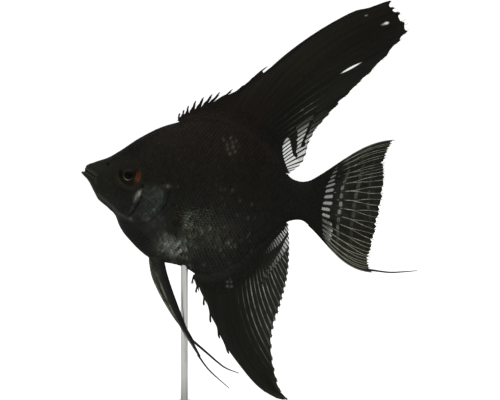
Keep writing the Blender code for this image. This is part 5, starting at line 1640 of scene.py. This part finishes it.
def noise(scale, detail=3.0, rough=0.55, stretch=None):
    """Noise over the model's own coordinates, in waves per metre."""
    t = Wire.tree
    co = t.nodes.new("ShaderNodeTexCoord")
    n = t.nodes.new("ShaderNodeTexNoise")
    n.inputs["Scale"].default_value = scale
    n.inputs["Detail"].default_value = detail
    n.inputs["Roughness"].default_value = rough
    out = co.outputs["Object"]
    if stretch:
        m = t.nodes.new("ShaderNodeMapping")
        m.inputs["Scale"].default_value = stretch[0]
        m.inputs["Rotation"].default_value = stretch[1]
        t.links.new(out, m.inputs["Vector"])
        out = m.outputs["Vector"]
    t.links.new(out, n.inputs["Vector"])
    return Wire(n.outputs["Fac"])


def tinted(colour_out, factor):
    """A colour times a grey factor."""
    n = Wire.tree.nodes.new("ShaderNodeVectorMath")
    n.operation = "SCALE"
    Wire.tree.links.new(colour_out, n.inputs[0])
    Wire.tree.links.new(factor.out, n.inputs["Scale"])
    return n.outputs[0]


def mixed(a, b, factor):
    n = Wire.tree.nodes.new("ShaderNodeMix")
    n.data_type = "RGBA"
    Wire.tree.links.new(factor.out, n.inputs["Factor"])
    for key, v in (("A", a), ("B", b)):
        socket = [s for s in n.inputs if s.name == key and s.type == "RGBA"][0]
        if isinstance(v, (tuple, list)):
            socket.default_value = (*v, 1.0)
        else:
            Wire.tree.links.new(v, socket)
    return [s for s in n.outputs if s.type == "RGBA"][0]


def bumped(shader, height, strength, distance):
    n = Wire.tree.nodes.new("ShaderNodeBump")
    n.inputs["Strength"].default_value = strength
    n.inputs["Distance"].default_value = distance
    Wire.tree.links.new(height.out, n.inputs["Height"])
    Wire.tree.links.new(n.outputs["Normal"], shader.inputs["Normal"])


def skin_material():
    m, t, shader = new_material("black_skin")
    dye = attribute("dye").outputs["Color"]
    ray = Wire(attribute("ray").outputs["Fac"])
    win = Wire(attribute("win").outputs["Fac"])
    clear = Wire(attribute("clear").outputs["Fac"])
    frost = Wire(attribute("frost").outputs["Fac"])
    grain, fine = noise(1500, 4), noise(6500, 2)
    body = tinted(dye, (grain * 0.7 + 0.65) * (fine * 0.5 + 0.75))
    # clear windows lie between two rays
    f = Wire.math("FRACT", ray)
    between = f.step(0.1, 0.24) * f.step(0.9, 0.76)
    inside = (win + (fine - 0.5) * 0.4).step(-0.1, 0.18) * between
    pane = mixed((0.20, 0.21, 0.175), (0.60, 0.64, 0.55), clear)
    faint = inside * clear
    colour = mixed(body, pane, faint * frost * 0.6)
    t.links.new(colour, shader.inputs["Base Color"])
    t.links.new((1.0 - faint * 0.88).out, shader.inputs["Alpha"])
    t.links.new((grain * 0.16 + 0.42).out, shader.inputs["Roughness"])
    shader.inputs["Specular IOR Level"].default_value = GLOSS
    bumped(shader, noise(5200, 3), 0.22, 0.00006)
    return m


def ray_material():
    m, t, shader = new_material("fin_ray_bone")
    dye = attribute("dye").outputs["Color"]
    grain = noise(2600, 3)
    t.links.new(tinted(dye, grain * 0.8 + 0.6), shader.inputs["Base Color"])
    t.links.new((grain * 0.2 + 0.36).out, shader.inputs["Roughness"])
    shader.inputs["Specular IOR Level"].default_value = GLOSS
    bumped(shader, noise(7000, 2), 0.2, 0.00004)
    return m


_scale_material = []


def scale_material():
    if _scale_material:
        return _scale_material[0]
    m, t, shader = new_material("scale_plate")
    dye = attribute("dye").outputs["Color"]
    grain, fine = noise(1700, 3), noise(9000, 2)
    t.links.new(tinted(dye, (grain * 0.6 + 0.7) * (fine * 0.5 + 0.75)), shader.inputs["Base Color"])
    t.links.new((grain * 0.18 + 0.36).out, shader.inputs["Roughness"])
    shader.inputs["Specular IOR Level"].default_value = GLOSS
    # fine growth rings
    bumped(shader, noise(9500, 2), 0.25, 0.00003)
    _scale_material.append(m)
    return m


def eye_material():
    m, t, shader = new_material("eye")
    dye = attribute("dye").outputs["Color"]
    gold = Wire(attribute("gold").outputs["Fac"])
    flake = noise(5200, 3)
    t.links.new(tinted(dye, flake * 0.9 + 0.55), shader.inputs["Base Color"])
    t.links.new((flake * 0.1 + 0.22).out, shader.inputs["Roughness"])
    t.links.new((gold * 0.35).out, shader.inputs["Metallic"])
    shader.inputs["Specular IOR Level"].default_value = 0.02
    shader.inputs["Coat Weight"].default_value = 0.05
    shader.inputs["Coat Roughness"].default_value = 0.08
    shader.inputs["Coat IOR"].default_value = 1.33
    return m


def wood_material():
    m, t, shader = new_material("stained_wood")
    co = t.nodes.new("ShaderNodeTexCoord")
    place = t.nodes.new("ShaderNodeMapping")
    place.inputs["Scale"].default_value = (14, 95, 95)
    t.links.new(co.outputs["Object"], place.inputs["Vector"])
    rings = t.nodes.new("ShaderNodeTexWave")
    rings.wave_type, rings.bands_direction = "BANDS", "Y"
    rings.inputs["Scale"].default_value = 0.9
    rings.inputs["Distortion"].default_value = 5.5
    rings.inputs["Detail"].default_value = 4.0
    rings.inputs["Detail Scale"].default_value = 1.3
    t.links.new(place.outputs["Vector"], rings.inputs["Vector"])
    ring = Wire(rings.outputs["Fac"])
    pores = noise(160, 4, 0.6, stretch=((2.5, 34, 34), (0, 0, 0)))
    broad = noise(28, 3)
    tone = mixed((0.022, 0.0125, 0.0075), (0.075, 0.042, 0.023), ring * 0.75 + broad * 0.25)
    tone = mixed(tone, (0.011, 0.0065, 0.004), pores.step(0.52, 0.72))
    t.links.new(tone, shader.inputs["Base Color"])
    t.links.new((pores * 0.25 + 0.30).out, shader.inputs["Roughness"])
    shader.inputs["Coat Weight"].default_value = 0.25
    shader.inputs["Coat Roughness"].default_value = 0.22
    bumped(shader, pores, 0.35, 0.00008)
    return m


def steel_material():
    m, t, shader = new_material("brushed_steel_rod")
    brush = noise(900, 4, 0.6, stretch=((9, 9, 0.35), (0, 0, 0)))
    wear = noise(120, 3)
    tone = mixed((0.40, 0.40, 0.39), (0.62, 0.615, 0.60), brush)
    t.links.new(tone, shader.inputs["Base Color"])
    shader.inputs["Metallic"].default_value = 1.0
    t.links.new((brush * 0.16 + wear * 0.1 + 0.2).out, shader.inputs["Roughness"])
    bumped(shader, brush, 0.15, 0.00003)
    return m


def floor_material():
    m, t, shader = new_material("pale_floor")
    soft = noise(9, 2)
    tone = mixed((0.88, 0.88, 0.87), (0.92, 0.92, 0.91), soft)
    t.links.new(tone, shader.inputs["Base Color"])
    t.links.new((soft * 0.1 + 0.7).out, shader.inputs["Roughness"])
    shader.inputs["Specular IOR Level"].default_value = 0.1
    return m


# ------------------------------------------------------------------ the model
skin = make_skin()
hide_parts("head", "lower_jaw", "gill_cover_left", "gill_cover_right", "trunk", "tail_stalk",
            "dorsal_fin", "anal_fin", "caudal_fin", "pelvic_fin_left", "pelvic_fin_right",
            "pectoral_fin_left", "pectoral_fin_right")
make_rays()
make_body_scales()
make_fin_scales()
for side in (-1, 1):
    make_eye(side)

wood, steel = wood_material(), steel_material()
for name, mat in (("stand_base", wood), ("stand_rod", steel), ("stand_collar", steel)):
    node = frame["nodes"][name]
    node.data.materials.clear()
    node.data.materials.append(mat)

# ------------------------------------------------------------------ floor, light, camera
scene = bpy.context.scene
bm = bmesh.new()
bmesh.ops.create_circle(bm, cap_ends=True, segments=96, radius=30.0)
me = bpy.data.meshes.new("floor")
bm.to_mesh(me)
bm.free()
floor = add_object("floor", me, floor_material())

w = bpy.data.worlds.new("studio")
scene.world = w
w.use_nodes = True
tree = w.node_tree
tree.nodes.clear()
out = tree.nodes.new("ShaderNodeOutputWorld")
rays = tree.nodes.new("ShaderNodeLightPath")
seen, lit, mix = (tree.nodes.new(k) for k in ("ShaderNodeBackground", "ShaderNodeBackground", "ShaderNodeMixShader"))
seen.inputs["Color"].default_value = (1, 1, 1, 1)
seen.inputs["Strength"].default_value = 1.05
lit.inputs["Color"].default_value = (0.985, 1.0, 1.0, 1)
lit.inputs["Strength"].default_value = 0.42
tree.links.new(rays.outputs["Is Camera Ray"], mix.inputs["Fac"])
tree.links.new(lit.outputs[0], mix.inputs[1])
tree.links.new(seen.outputs[0], mix.inputs[2])
tree.links.new(mix.outputs[0], out.inputs["Surface"])


def sun(name, toward, strength, spread):
    data = bpy.data.lights.new(name, "SUN")
    data.energy, data.angle = strength, math.radians(spread)
    obj = bpy.data.objects.new(name, data)
    scene.collection.objects.link(obj)
    obj.rotation_mode = "QUATERNION"
    obj.rotation_quaternion = Vector(toward).normalized().to_track_quat("Z", "Y")
    return obj


# each direction points from the fish to the light
sun("key_soft", (-0.42, -0.80, 1.0), 2.1, 55)
sun("fill_soft", (0.75, -0.55, 0.75), 0.7, 70)
sun("back_soft", (0.35, 0.85, 0.9), 1.5, 60)

scene.view_settings.view_transform = "Standard"
scene.view_settings.look = "None"
scene.view_settings.exposure = 0.0
scene.view_settings.gamma = 1.0

camera = bpy.data.cameras.new("camera")
camera.lens, camera.sensor_width = 150.0, 36.0
distance = 0.165 * camera.lens / camera.sensor_width
camera.clip_start, camera.clip_end = 0.02, 80.0
cam = bpy.data.objects.new("camera", camera)
scene.collection.objects.link(cam)
cam.location = (0.01158, -distance, 0.07393)
cam.rotation_euler = (math.pi / 2, 0, 0)
scene.camera = cam
